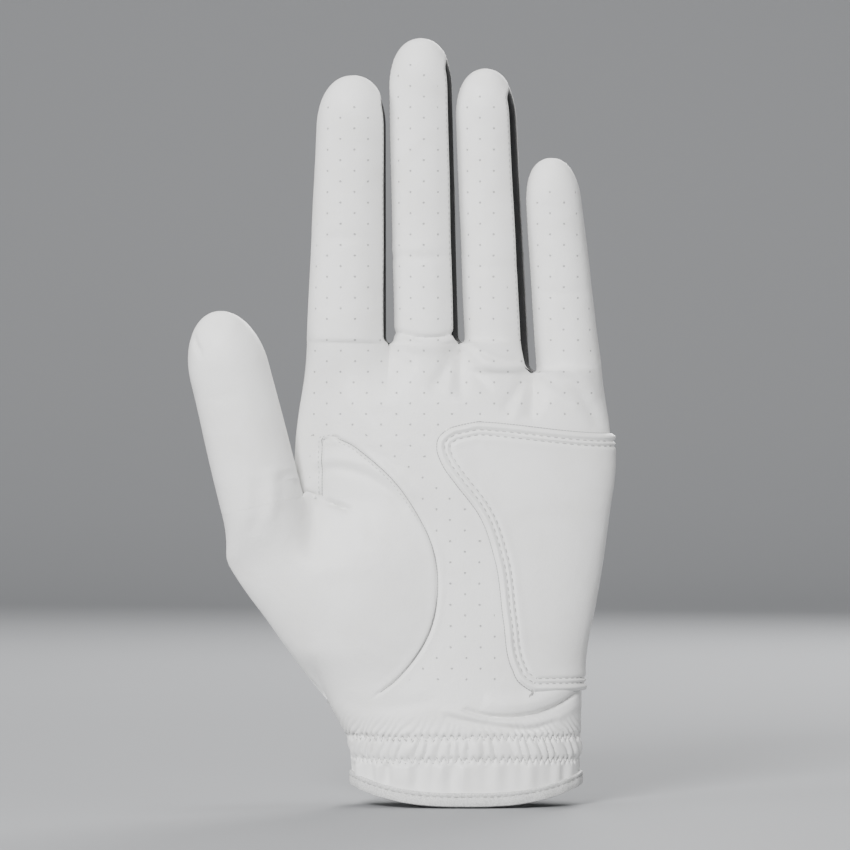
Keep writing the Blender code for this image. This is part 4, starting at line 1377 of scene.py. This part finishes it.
def binding_place(column, row):
    """A folded tape round the hem: column round the wrist, row round the tape's section."""
    outline = np.array(BAND + BAND[:1]) * MM
    share = row * len(BAND)
    out_by = np.interp(share, np.arange(len(outline)), outline[:, 0])
    up_by = np.interp(share, np.arange(len(outline)), outline[:, 1])
    point, out = wrist_spot(column, lambda hem: hem + up_by)
    return point + out * (out_by + 0.10 * MM * np.sin(column * 0.37))[..., None]


def binding_sheet():
    bm = bmesh.new()
    angles = wrist_ring(300)
    lay(bm, angles, np.linspace(0.0, 1.0, len(BAND) * 2 + 1), binding_place)
    bmesh.ops.remove_doubles(bm, verts=bm.verts, dist=0.002 * MM)
    bmesh.ops.holes_fill(bm, edges=[e for e in bm.edges if e.is_boundary], sides=0)
    bmesh.ops.recalc_face_normals(bm, faces=bm.faces)
    return bm


def binding_stitches(bm):
    angles = wrist_ring(900)[6:-6]
    point, out = wrist_spot(angles, lambda hem: hem + 3.0 * MM)
    stitch_row(bm, point + out * (0.86 * MM), out, 2.1 * MM, 1.45 * MM, 0.40 * MM)


def elastic_sheet(middle):
    bm = bmesh.new()

    def place(column, row):
        point = hand_point(column, middle + row, FRONT)
        inward = points(-np.sin(np.radians(column)), np.cos(np.radians(column)), 0.0 * column)
        return point + inward * (1.9 * MM + 0.25 * MM * np.sin(column * 1.1))[..., None]
    lay(bm, np.linspace(-72.0, 72.0, 160), np.linspace(-2.0, 2.0, 9) * MM, place)
    return bm


def slit_tape_sheet():
    """The folded edge round the back's opening."""
    bm = bmesh.new()
    side_length = SLIT_TOP - 8.0 * MM
    arc = math.pi * SLIT_HALF
    total = 2 * side_length + arc

    def place(column, row):
        far = column * total
        angle = np.clip((far - side_length) / SLIT_HALF, 0.0, math.pi)
        out_x, out_z = np.cos(angle), np.sin(angle)
        z = np.where(far < side_length, 8.0 * MM + far, np.where(
            far > side_length + arc, 8.0 * MM + total - far, SLIT_TOP))
        across = np.interp(row, [0, 0.15, 0.3, 0.7, 0.85, 1.0], [-0.35, -0.3, 0.0, 2.5, 2.85, 2.7])
        off = np.interp(row, [0, 0.15, 0.3, 0.7, 0.85, 1.0], [-0.6, 0.35, 0.75, 0.75, 0.4, -0.1])
        x = SLIT_X + out_x * (SLIT_HALF + across * MM)
        z = z + out_z * across * MM + out_z * SLIT_HALF
        return hand_at(x, z, BACK) + surface_normal(x, z, BACK) * (off * MM)[..., None]
    lay(bm, np.linspace(0.0, 1.0, 150), np.linspace(0.0, 1.0, 13), place, FRONT)
    return bm


# Closure

def tab_depth(x):
    """How far back the tab's underside lies: round the wrist, nearly flat in its middle."""
    stations = np.array([-32.2, -27.0, -24.0, -18.0, -10.0, 9.0, 15.0, 22.0, 29.0]) * MM
    depth = hand_at(stations, np.full(stations.shape, 27 * MM), BACK)[:, 1]
    low = hand_at(stations, np.full(stations.shape, TAB_LOW), BACK)[:, 1]
    depth = np.minimum(depth, low)
    depth[4] = depth[5] = max(depth[4], depth[5])
    rise = np.array([1.0, 1.8, 3.2, 3.3, 3.3, 3.3, 3.3, 3.2, 3.0]) * MM
    fit = np.polynomial.Polynomial.fit(stations, depth + rise, 6)
    return fit(x)


def rounded_corners(row, high, radius):
    """How far a rounded rectangle's rows are drawn in at its free end."""
    over = np.clip((np.abs(row - 0.5) * high - (0.5 * high - radius)) / radius, 0.0, 1.0)
    return radius * (1.0 - np.sqrt(1.0 - over ** 2))


def tab_sheet():
    bm = bmesh.new()
    high = TAB_HIGH - TAB_LOW

    def place(column, row):
        drawn = rounded_corners(row, high, 6.5 * MM)
        first, last = TAB_ROOT_X, TAB_FREE_END_X - drawn
        x = lerp(first, last, column)
        z = lerp(TAB_LOW, TAB_HIGH, row)
        edge = np.minimum(np.minimum((last - x), (x - first)),
                          np.minimum(z - TAB_LOW, TAB_HIGH - z)) / MM
        swell = (-0.45 * np.exp(-(edge / 0.45) ** 2) - 0.28 * np.exp(-((edge - 2.2) / 0.4) ** 2)
                 + 0.12 * np.exp(-((edge - 1.2) / 0.6) ** 2)
                 + 0.35 * smooth(3.0, 10.0, edge) * 0.6)
        y = tab_depth(x) + (1.4 + swell) * MM
        return points(x, y, z)
    side = np.concatenate((np.linspace(0.0, 0.08, 14), np.linspace(0.08, 0.90, 60)[1:],
                           np.linspace(0.90, 1.0, 22)[1:]))
    rows = np.concatenate((np.linspace(0.0, 0.14, 14), np.linspace(0.14, 0.86, 26)[1:],
                           np.linspace(0.86, 1.0, 14)[1:]))
    lay(bm, side, rows, place, BACK)
    return bm


def tab_stitches(bm):
    """One row inside the tab's edge, closed across its root."""
    inset, radius = 2.2 * MM, 4.6 * MM
    low, top, end = TAB_LOW + inset, TAB_HIGH - inset, TAB_FREE_END_X - inset
    arc = np.radians(np.linspace(0.0, 90.0, 12))
    flat = ([(x, low) for x in np.linspace(TAB_ROOT_X + inset, end - radius, 120)]
            + [(end - radius + radius * math.sin(a), low + radius - radius * math.cos(a))
               for a in arc[1:]]
            + [(end, z) for z in np.linspace(low + radius, top - radius, 30)[1:]]
            + [(end - radius + radius * math.cos(a), top - radius + radius * math.sin(a))
               for a in arc[1:]]
            + [(x, top) for x in np.linspace(end - radius, TAB_ROOT_X + inset, 120)[1:]]
            + [(TAB_ROOT_X + inset, z) for z in np.linspace(top, low, 40)[1:]])
    x, z = np.array(flat).T
    y = tab_depth(x) + 1.20 * MM
    slope = (tab_depth(x + 0.1 * MM) - tab_depth(x - 0.1 * MM)) / (0.2 * MM)
    normal = points(-slope, np.ones(x.shape), np.zeros(x.shape))
    stitch_row(bm, points(x, y, z), normal, 2.2 * MM, 1.5 * MM, 0.42 * MM)


def pad_sheet(first, last, low, high, offset, swell):
    """A flat pad on the back's form, such as the loop patch."""
    bm = bmesh.new()

    def place(column, row):
        x, z = lerp(first, last, column), lerp(low, high, row)
        edge = np.minimum(np.minimum(x - first, last - x), np.minimum(z - low, high - z)) / MM
        return (hand_at(x, z, BACK) + surface_normal(x, z, BACK)
                * (offset + (swell - 0.4 * np.exp(-(edge / 0.5) ** 2)) * MM)[..., None])
    lay(bm, np.linspace(0.0, 1.0, 40), np.linspace(0.0, 1.0, 40), place, BACK)
    return bm


def hook_sheet():
    bm = bmesh.new()

    def place(column, row):
        x = lerp(10.0 * MM, 27.4 * MM, column)
        return points(x, tab_depth(x) - 0.05 * MM, lerp(TAB_LOW + 3 * MM, TAB_HIGH - 3 * MM, row))
    lay(bm, np.linspace(0.0, 1.0, 40), np.linspace(0.0, 1.0, 30), place, BACK)
    return bm


def knuckle_place(column, row):
    height = 108.0 * MM + row * (5.8 * MM * np.cos(np.radians(column * 1.2)))
    return hand_point(column, height, BACK)


def knuckle_sheet():
    bm = bmesh.new()

    def lift(point, column, row):
        edge = (1.0 - np.abs(row)) * 5.0
        return 0.95 * MM + (0.35 * np.exp(-((row / 0.8) ** 2)) - 0.5 * np.exp(-(edge / 0.5) ** 2)
                            + 0.10 * np.sin(column * 1.9)) * MM
    lay(bm, np.linspace(-52.0, 52.0, 170), np.linspace(-1.0, 1.0, 27),
        lifted(knuckle_place, lift, BACK, 0.2, 0.01), BACK)
    return bm


def knuckle_stitches(bm):
    for row in (-1.12, 1.12):
        turns = np.linspace(-50.0, 50.0, 400)
        point = knuckle_place(turns, np.full(turns.shape, row))
        normal = surface_normal(point[:, 0], point[:, 2], BACK)
        stitch_row(bm, point + normal * 0.12 * MM, normal, 1.9 * MM, 1.3 * MM, 0.36 * MM)


# What a user may change

class HideSettings(bpy.types.PropertyGroup):
    colour: FloatVectorProperty(
        name="Colour", description="The white hide", subtype="COLOR", size=3,
        default=(0.80, 0.80, 0.79), min=0.0, max=1.0)
    shade: FloatVectorProperty(
        name="Handled", description="The hide where it has been handled", subtype="COLOR",
        size=3, default=(0.70, 0.69, 0.67), min=0.0, max=1.0)
    grain: FloatProperty(
        name="Grain", description="Depth of the fine grain", default=1.0, min=0.0, max=3.0)
    thickness: FloatProperty(
        name="Thickness", description="Thickness of the hide", subtype="DISTANCE",
        unit="LENGTH", default=0.8 * MM, min=0.3 * MM)
    punch_across: FloatProperty(
        name="Holes Across", description="Distance across between air holes of one row",
        subtype="DISTANCE", unit="LENGTH", default=8.2 * MM)
    punch_up: FloatProperty(
        name="Holes Up", description="Distance between air holes up a column",
        subtype="DISTANCE", unit="LENGTH", default=6.2 * MM)
    punch_size: FloatProperty(
        name="Hole Size", description="Width of an air hole", subtype="DISTANCE",
        unit="LENGTH", default=0.55 * MM)


class KnitSettings(bpy.types.PropertyGroup):
    colour: FloatVectorProperty(
        name="Colour", description="The black stretch knit", subtype="COLOR", size=3,
        default=(0.004, 0.004, 0.0045), min=0.0, max=1.0)
    # Painted highlight: the lighter colour painted on the tops of the knit's ribs.
    sheen: FloatVectorProperty(
        name="Painted Rib Highlight", description="The knit on top of its ribs", subtype="COLOR", size=3,
        default=(0.014, 0.014, 0.015), min=0.0, max=1.0)
    thickness: FloatProperty(
        name="Thickness", description="Thickness of the knit", subtype="DISTANCE",
        unit="LENGTH", default=0.7 * MM, min=0.3 * MM)


class ThreadSettings(bpy.types.PropertyGroup):
    seam: FloatVectorProperty(
        name="Seam Thread", description="Thread of the fine white seams", subtype="COLOR",
        size=3, default=(0.50, 0.50, 0.49), min=0.0, max=1.0)
    heavy: FloatVectorProperty(
        name="Heavy Thread", description="Thread of the patch, hem and tab", subtype="COLOR",
        size=3, default=(0.40, 0.40, 0.395), min=0.0, max=1.0)
    # Edge colour: painted shade, the dark cords along the patch's border and the thumb's seam,
    # partly the cut edge's darker tone.
    edge: FloatVectorProperty(
        name="Painted Edge Shade", description="The hide's cut edges and joins", subtype="COLOR",
        size=3, default=(0.26, 0.26, 0.26), min=0.0, max=1.0)
    tape: FloatVectorProperty(
        name="Tape", description="The binding and the elastic", subtype="COLOR",
        size=3, default=(0.74, 0.74, 0.73), min=0.0, max=1.0)


class StageSettings(bpy.types.PropertyGroup):
    floor: FloatVectorProperty(
        name="Floor", description="The pale floor", subtype="COLOR", size=3,
        default=(0.30, 0.305, 0.315), min=0.0, max=1.0)
    field: FloatProperty(
        name="Field", description="Width that the camera takes in", subtype="DISTANCE",
        unit="LENGTH", default=250.75 * MM)


class GloveSettings(bpy.types.PropertyGroup):
    hide: PointerProperty(type=HideSettings, name="Hide")
    knit: PointerProperty(type=KnitSettings, name="Knit")
    thread: PointerProperty(type=ThreadSettings, name="Thread")
    stage: PointerProperty(type=StageSettings, name="Stage")


def look_of(kind):
    """This finish, made the first time that it is asked for."""
    settings = bpy.context.scene.golf_glove
    made = bpy.data.materials.get(kind)
    if made:
        return made
    thread = settings.thread
    return {
        "white_hide": lambda: leather_look("white_hide", settings.hide),
        "cuff_hide": lambda: leather_look("cuff_hide", settings.hide, 0.6),
        "black_knit": lambda: knit_look("black_knit", settings.knit),
        "seam_thread": lambda: thread_look("seam_thread", thread.seam),
        "heavy_thread": lambda: thread_look("heavy_thread", thread.heavy),
        # Painted shade: the dark grey of the edge cords.
        "raw_edge": lambda: thread_look("raw_edge", thread.edge),
        "hem_tape": lambda: tape_look("hem_tape", thread.tape, 2.4, 0.10, 0.5),
        "elastic_tape": lambda: tape_look("elastic_tape", thread.tape, 1.3, 0.25),
        "hook_tape": lambda: tape_look("hook_tape", (0.60, 0.60, 0.59), 1.6, 0.5),
        "loop_tape": lambda: tape_look("loop_tape", (0.62, 0.62, 0.61), 1.1, 0.35),
    }[kind]()


class DressOperator:
    """Shared by the operators that dress the frame."""
    bl_options = {"REGISTER", "UNDO"}

    def execute(self, context):
        self.make(context.scene.golf_glove)
        return {"FINISHED"}


def halves(digit, end=None):
    """A finger's lower and upper part: name, heights, the stretch of its joint, bodies."""
    base = digit.base[2] * MM
    cut = base + digit.split * MM
    lower, upper = f"{digit.name}_lower", f"{digit.name}_upper"
    return (("lower", base, cut, digit.hinge, ("glove", lower)),
            ("upper", cut, end, digit.bend, (lower, upper)))


def bend_tab(obj):
    """Bakes the piece's placement into its mesh; it does not bend it between the glove and the
    closure tab.
    """
    start = (-27.0 * MM, float(tab_depth(TAB_HINGE_X)), 27.0 * MM)
    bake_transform(obj)


def finger_nodes(name, side, half):
    if side == BACK:
        return (f"{name}_back_{half}",)
    fold = "base" if half == "lower" else "middle"
    return (f"{name}_front_{half}", f"{name}_{fold}_fold")


class GLOVE_OT_fingers(DressOperator, bpy.types.Operator):
    """Lays the front and back leather of the four fingers, cut beside their middle joints"""
    bl_idname = "golf_glove.fingers"
    bl_label = "Finger Leather"

    def make(self, settings):
        wall = settings.hide.thickness
        for k, digit in enumerate(FINGERS):
            for side, word in ((FRONT, "front"), (BACK, "back")):
                shares = (FRONT_SHARES if side == FRONT else BACK_SHARES)[k]
                for half, start, end, span, pair in halves(digit):
                    bm = finger_sheet(k, side, shares, start, end)
                    obj = make_piece(bm, f"{digit.name}_{word}_leather_{half}",
                                     look_of("white_hide"),
                                     finger_nodes(digit.name, side, half), wall)
                    bend(obj, digit, *pair, span)


class GLOVE_OT_palm(DressOperator, bpy.types.Operator):
    """Lays the punched palm from the cuff to the fingers"""
    bl_idname = "golf_glove.palm"
    bl_label = "Palm Leather"

    def make(self, settings):
        obj = make_piece(palm_sheet(), "palm_hide", look_of("white_hide"),
                         ("palm_leather",), settings.hide.thickness, WELD)
        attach(obj, "glove")


class GLOVE_OT_thumb(DressOperator, bpy.types.Operator):
    """Sets in the thumb: its curved heel and gore, and its tube"""
    bl_idname = "golf_glove.thumb"
    bl_label = "Thumb Leather"

    def make(self, settings):
        wall = settings.hide.thickness
        for side, word, base_nodes, tip_nodes in (
                (FRONT, "front", ("thumb_heel_leather", "thumb_gore", "thumb_front_lower"),
                 ("thumb_front_upper", "thumb_fold")),
                (BACK, "back", ("thumb_back_heel_leather", "thumb_back_lower"),
                 ("thumb_back_upper",))):
            base = make_piece(thumb_base_sheet(side), f"thumb_{word}_heel",
                              look_of("white_hide"), base_nodes, wall, WELD)
            bend(base, THUMB, "glove", "thumb_top", THUMB.hinge)
            tip = make_piece(thumb_tip_sheet(side), f"thumb_{word}_tip",
                             look_of("white_hide"), tip_nodes, wall)
            bend(tip, THUMB, "glove", "thumb_top", THUMB.hinge)


class GLOVE_OT_back(DressOperator, bpy.types.Operator):
    """Lays the back of the hand, open in its slit"""
    bl_idname = "golf_glove.back"
    bl_label = "Back Leather"

    def make(self, settings):
        obj = make_piece(back_sheet(), "back_hide", look_of("white_hide"),
                         ("back_leather",), settings.hide.thickness, WELD)
        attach(obj, "glove")


class GLOVE_OT_forks(DressOperator, bpy.types.Operator):
    """Fits the black stretch forks between the fingers"""
    bl_idname = "golf_glove.forks"
    bl_label = "Stretch Forks"

    def make(self, settings):
        wall = settings.knit.thickness
        for k, digit in enumerate(FINGERS):
            end = digit.base[2] * MM + length_of(digit) - 4.2 * MM
            for right, word, other in ((True, "right", k + 1), (False, "left", k - 1)):
                if not 0 <= other < len(FINGERS):
                    continue
                for half, low, high, span, pair in halves(digit, end):
                    obj = make_piece(
                        fork_sheet(k, right, low, high), f"{digit.name}_{word}_fork_{half}",
                        look_of("black_knit"),
                        (f"{digit.name}_{word}_fourchette_{half}",), wall)
                    bend(obj, digit, *pair, span)
        for k, web in enumerate(WEB_HEIGHTS):
            pair = FINGERS[k].name, FINGERS[k + 1].name
            bm = bmesh.new()
            for finger, right in ((k, True), (k + 1, False)):
                bm = fork_sheet(finger, right, web, FINGERS[finger].base[2] * MM, bm)
            obj = make_piece(bm, f"{pair[0]}_{pair[1]}_fork_web", look_of("black_knit"),
                             (f"{pair[0]}_{pair[1]}_web",), wall)
            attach(obj, "glove")


class GLOVE_OT_patch(DressOperator, bpy.types.Operator):
    """Sews the raised patch on the palm's heel"""
    bl_idname = "golf_glove.patch"
    bl_label = "Heel Patch"

    def make(self, settings):
        obj = make_piece(patch_sheet(), "heel_patch", look_of("white_hide"),
                         ("palm_heel_patch",), settings.hide.thickness)
        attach(obj, "glove")


class GLOVE_OT_cuff(DressOperator, bpy.types.Operator):
    """Gathers the wrist's palm side over its two elastics"""
    bl_idname = "golf_glove.cuff"
    bl_label = "Gathered Cuff"

    def make(self, settings):
        cuff = make_piece(cuff_sheet(), "gathered_cuff", look_of("cuff_hide"),
                          ("cuff_leather",), settings.hide.thickness)
        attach(cuff, "glove")
        for word, height in (("lower", ROW_LOW), ("upper", ROW_HIGH)):
            tape = make_piece(elastic_sheet(height * MM), f"{word}_elastic_tape",
                              look_of("elastic_tape"), (f"{word}_elastic",), 0.6 * MM)
            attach(tape, "glove")


class GLOVE_OT_bindings(DressOperator, bpy.types.Operator):
    """Folds the tape over the hem and round the opening slit"""
    bl_idname = "golf_glove.bindings"
    bl_label = "Bindings"

    def make(self, settings):
        hem = make_piece(binding_sheet(), "hem_tape", look_of("hem_tape"),
                         ("hem_binding",))
        slit = make_piece(slit_tape_sheet(), "slit_tape", look_of("hem_tape"),
                          ("slit_binding",), 0.5 * MM)
        for obj in (hem, slit):
            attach(obj, "glove")


class GLOVE_OT_closure(DressOperator, bpy.types.Operator):
    """Makes the closure tab with its hooks, and the loop patch that it closes on"""
    bl_idname = "golf_glove.closure"
    bl_label = "Closure Tab"

    def make(self, settings):
        tab = make_piece(tab_sheet(), "closure_flap", look_of("white_hide"),
                         ("closure_tab", "closure_tab_root"), 1.4 * MM)
        bend_tab(tab)
        hooks = make_piece(hook_sheet(), "hook_pad", look_of("hook_tape"),
                           ("hook_patch",), 0.6 * MM)
        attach(hooks, "tab")
        loops = make_piece(
            pad_sheet(10.6 * MM, 28.0 * MM, TAB_LOW + 3 * MM, TAB_HIGH - 3 * MM, 0.0, 0.9),
            "loop_pad", look_of("loop_tape"), ("loop_patch",), 0.7 * MM)
        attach(loops, "glove")


class GLOVE_OT_knuckles(DressOperator, bpy.types.Operator):
    """Lays the black stretch strip over the knuckles"""
    bl_idname = "golf_glove.knuckles"
    bl_label = "Knuckle Strip"

    def make(self, settings):
        obj = make_piece(knuckle_sheet(), "knuckle_strip", look_of("black_knit"),
                         ("knuckle_stretch_strip",), settings.knit.thickness)
        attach(obj, "glove")


class GLOVE_OT_stitches(DressOperator, bpy.types.Operator):
    """Sews every visible row of stitches"""
    bl_idname = "golf_glove.stitches"
    bl_label = "Stitches"

    def make(self, settings):
        for name, sew, thread, body in (
                ("patch_stitches", patch_stitches, "heavy_thread", "glove"),
                ("thumb_seam_stitches", arc_stitches, "seam_thread", "glove"),
                ("thumb_seam_piping", crotch_piping, "white_hide", "glove"),
                # The patch's edge cord and the thumb's seam cord are painted shade: dark grey
                # cords standing for the shadows there.
                ("patch_raw_edge", patch_edge, "raw_edge", "glove"),
                ("thumb_seam_join", thumb_seam_line, "raw_edge", "glove"),
                ("zigzag_stitches", cuff_stitches, "heavy_thread", "glove"),
                ("hem_stitches", binding_stitches, "heavy_thread", "glove"),
                ("knuckle_strip_stitches", knuckle_stitches, "seam_thread", "glove"),
                ("tab_stitches", tab_stitches, "heavy_thread", "")):
            bm = bmesh.new()
            sew(bm)
            obj = make_piece(bm, name, look_of(thread))
            if body:
                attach(obj, body)
            else:
                bend_tab(obj)
        for k, digit in enumerate(FINGERS):
            end = digit.base[2] * MM + length_of(digit) - 4.5 * MM
            for half, low, high, span, pair in halves(digit, end):
                bm = bmesh.new()
                for side in (FRONT, BACK):
                    for edge, _ in neighbours(k):
                        finger_stitches(bm, k, side, edge, low, high)
                obj = make_piece(bm, f"{digit.name}_seam_stitches_{half}",
                                 look_of("seam_thread"))
                bend(obj, digit, *pair, span)


FLOOR_WIDTH, FLOOR_START = 7.0, -2.4
SWEEP_START, SWEEP_DEPTH, SWEEP_RADIUS = 1.9, 0.8, 0.51  # where the floor turns into the wall
STAGE_MIDDLE = (-0.012, 0.0, 0.11)


def area_lamp(name, place, aim, size, power):
    data = bpy.data.lights.new(name, "AREA")
    data.shape = "DISK"
    data.size = size
    data.energy = power
    lamp = bpy.data.objects.new(name, data)
    lamp.location = place
    lamp.rotation_euler = (Vector(aim) - Vector(place)).to_track_quat("-Z", "Y").to_euler()
    bpy.context.scene.collection.objects.link(lamp)


class GLOVE_OT_stage(DressOperator, bpy.types.Operator):
    """Sets the pale floor, the soft lights and the camera"""
    bl_idname = "golf_glove.stage"
    bl_label = "Stage"

    def make(self, settings):
        stage = settings.stage
        bm = bmesh.new()
        made = bmesh.ops.create_grid(bm, x_segments=2, y_segments=60, size=0.5)["verts"]
        for vert in made:
            far = (vert.co.y + 0.5) * FLOOR_WIDTH + FLOOR_START
            turn = min(max((far - SWEEP_START) / SWEEP_DEPTH, 0.0), 1.0) * math.pi / 2
            vert.co = (vert.co.x * FLOOR_WIDTH,
                       min(far, SWEEP_START) + SWEEP_RADIUS * math.sin(turn),
                       SWEEP_RADIUS * (1.0 - math.cos(turn)) + max(far - 2.7, 0.0) - 0.4 * MM)
        mesh = bpy.data.meshes.new("pale_floor")
        bm.to_mesh(mesh)
        bm.free()
        mesh.shade_smooth()
        floor = bpy.data.objects.new("pale_floor", mesh)
        bpy.context.scene.collection.objects.link(floor)
        finish = Finish("floor_paint", Roughness=0.8, Specular_IOR_Level=0.2)
        place = finish.node("ShaderNodeTexCoord", {}, {}, "Object")
        cloud = finish.noise(place, 3.0, 3.0)
        finish.feed("Base Color", finish.mix(
            cloud, colour(stage.floor), colour([c * 0.95 for c in stage.floor])))
        mesh.materials.append(finish.material)

        world = bpy.data.worlds.new("studio")
        world.use_nodes = True
        world.node_tree.nodes["Background"].inputs["Color"].default_value = (1, 1, 1, 1)
        world.node_tree.nodes["Background"].inputs["Strength"].default_value = 0.22
        bpy.context.scene.world = world
        middle = STAGE_MIDDLE
        area_lamp("front_softbox", (-0.45, -1.35, 0.75), middle, 0.5, 42.0)
        area_lamp("left_softbox", (-1.25, -0.55, 0.35), middle, 0.5, 7.0)
        area_lamp("right_softbox", (1.3, -0.6, 0.3), middle, 0.6, 3.0)
        area_lamp("back_softbox", (0.35, 1.25, 0.8), middle, 0.7, 18.0)
        area_lamp("wall_softbox", (0.0, 0.9, 1.9), (0.0, 2.3, 0.35), 1.2, 22.0)
        area_lamp("top_softbox", (0.0, 0.1, 1.4), middle, 0.5, 7.0)

        data = bpy.data.cameras.new("camera")
        data.lens = 240.0
        data.sensor_width = 36.0
        camera = bpy.data.objects.new("camera", data)
        distance = stage.field * data.lens / data.sensor_width
        camera.location = (-12.1 * MM, -distance, 111.5 * MM)
        camera.rotation_euler = (math.pi / 2, 0.0, 0.0)
        bpy.context.scene.collection.objects.link(camera)
        bpy.context.scene.camera = camera


OPERATORS = (
    GLOVE_OT_stage, GLOVE_OT_palm, GLOVE_OT_fingers, GLOVE_OT_thumb, GLOVE_OT_back,
    GLOVE_OT_forks, GLOVE_OT_patch, GLOVE_OT_cuff, GLOVE_OT_bindings, GLOVE_OT_closure,
    GLOVE_OT_knuckles, GLOVE_OT_stitches)


class GLOVE_PT_panel(bpy.types.Panel):
    """Lists the glove's pieces and settings"""
    bl_idname = "GLOVE_PT_panel"
    bl_label = "Golf Glove"
    bl_space_type = "VIEW_3D"
    bl_region_type = "UI"
    bl_category = "Golf Glove"

    def draw(self, context):
        layout = self.layout
        for group in (context.scene.golf_glove.hide, context.scene.golf_glove.knit,
                      context.scene.golf_glove.thread, context.scene.golf_glove.stage):
            box = layout.box()
            for key in group.__annotations__:
                box.prop(group, key)
        for operator in OPERATORS:
            layout.operator(operator.bl_idname)


CLASSES = (HideSettings, KnitSettings, ThreadSettings, StageSettings, GloveSettings,
           *OPERATORS, GLOVE_PT_panel)


def register():
    for cls in CLASSES:
        bpy.utils.register_class(cls)
    bpy.types.Scene.golf_glove = PointerProperty(type=GloveSettings)


def unregister():
    del bpy.types.Scene.golf_glove
    for cls in reversed(CLASSES):
        bpy.utils.unregister_class(cls)


def main():
    register()
    for operator in OPERATORS:
        call = operator.bl_idname.split(".")[1]
        getattr(bpy.ops.golf_glove, call)()


if __name__ == "__main__":
    main()
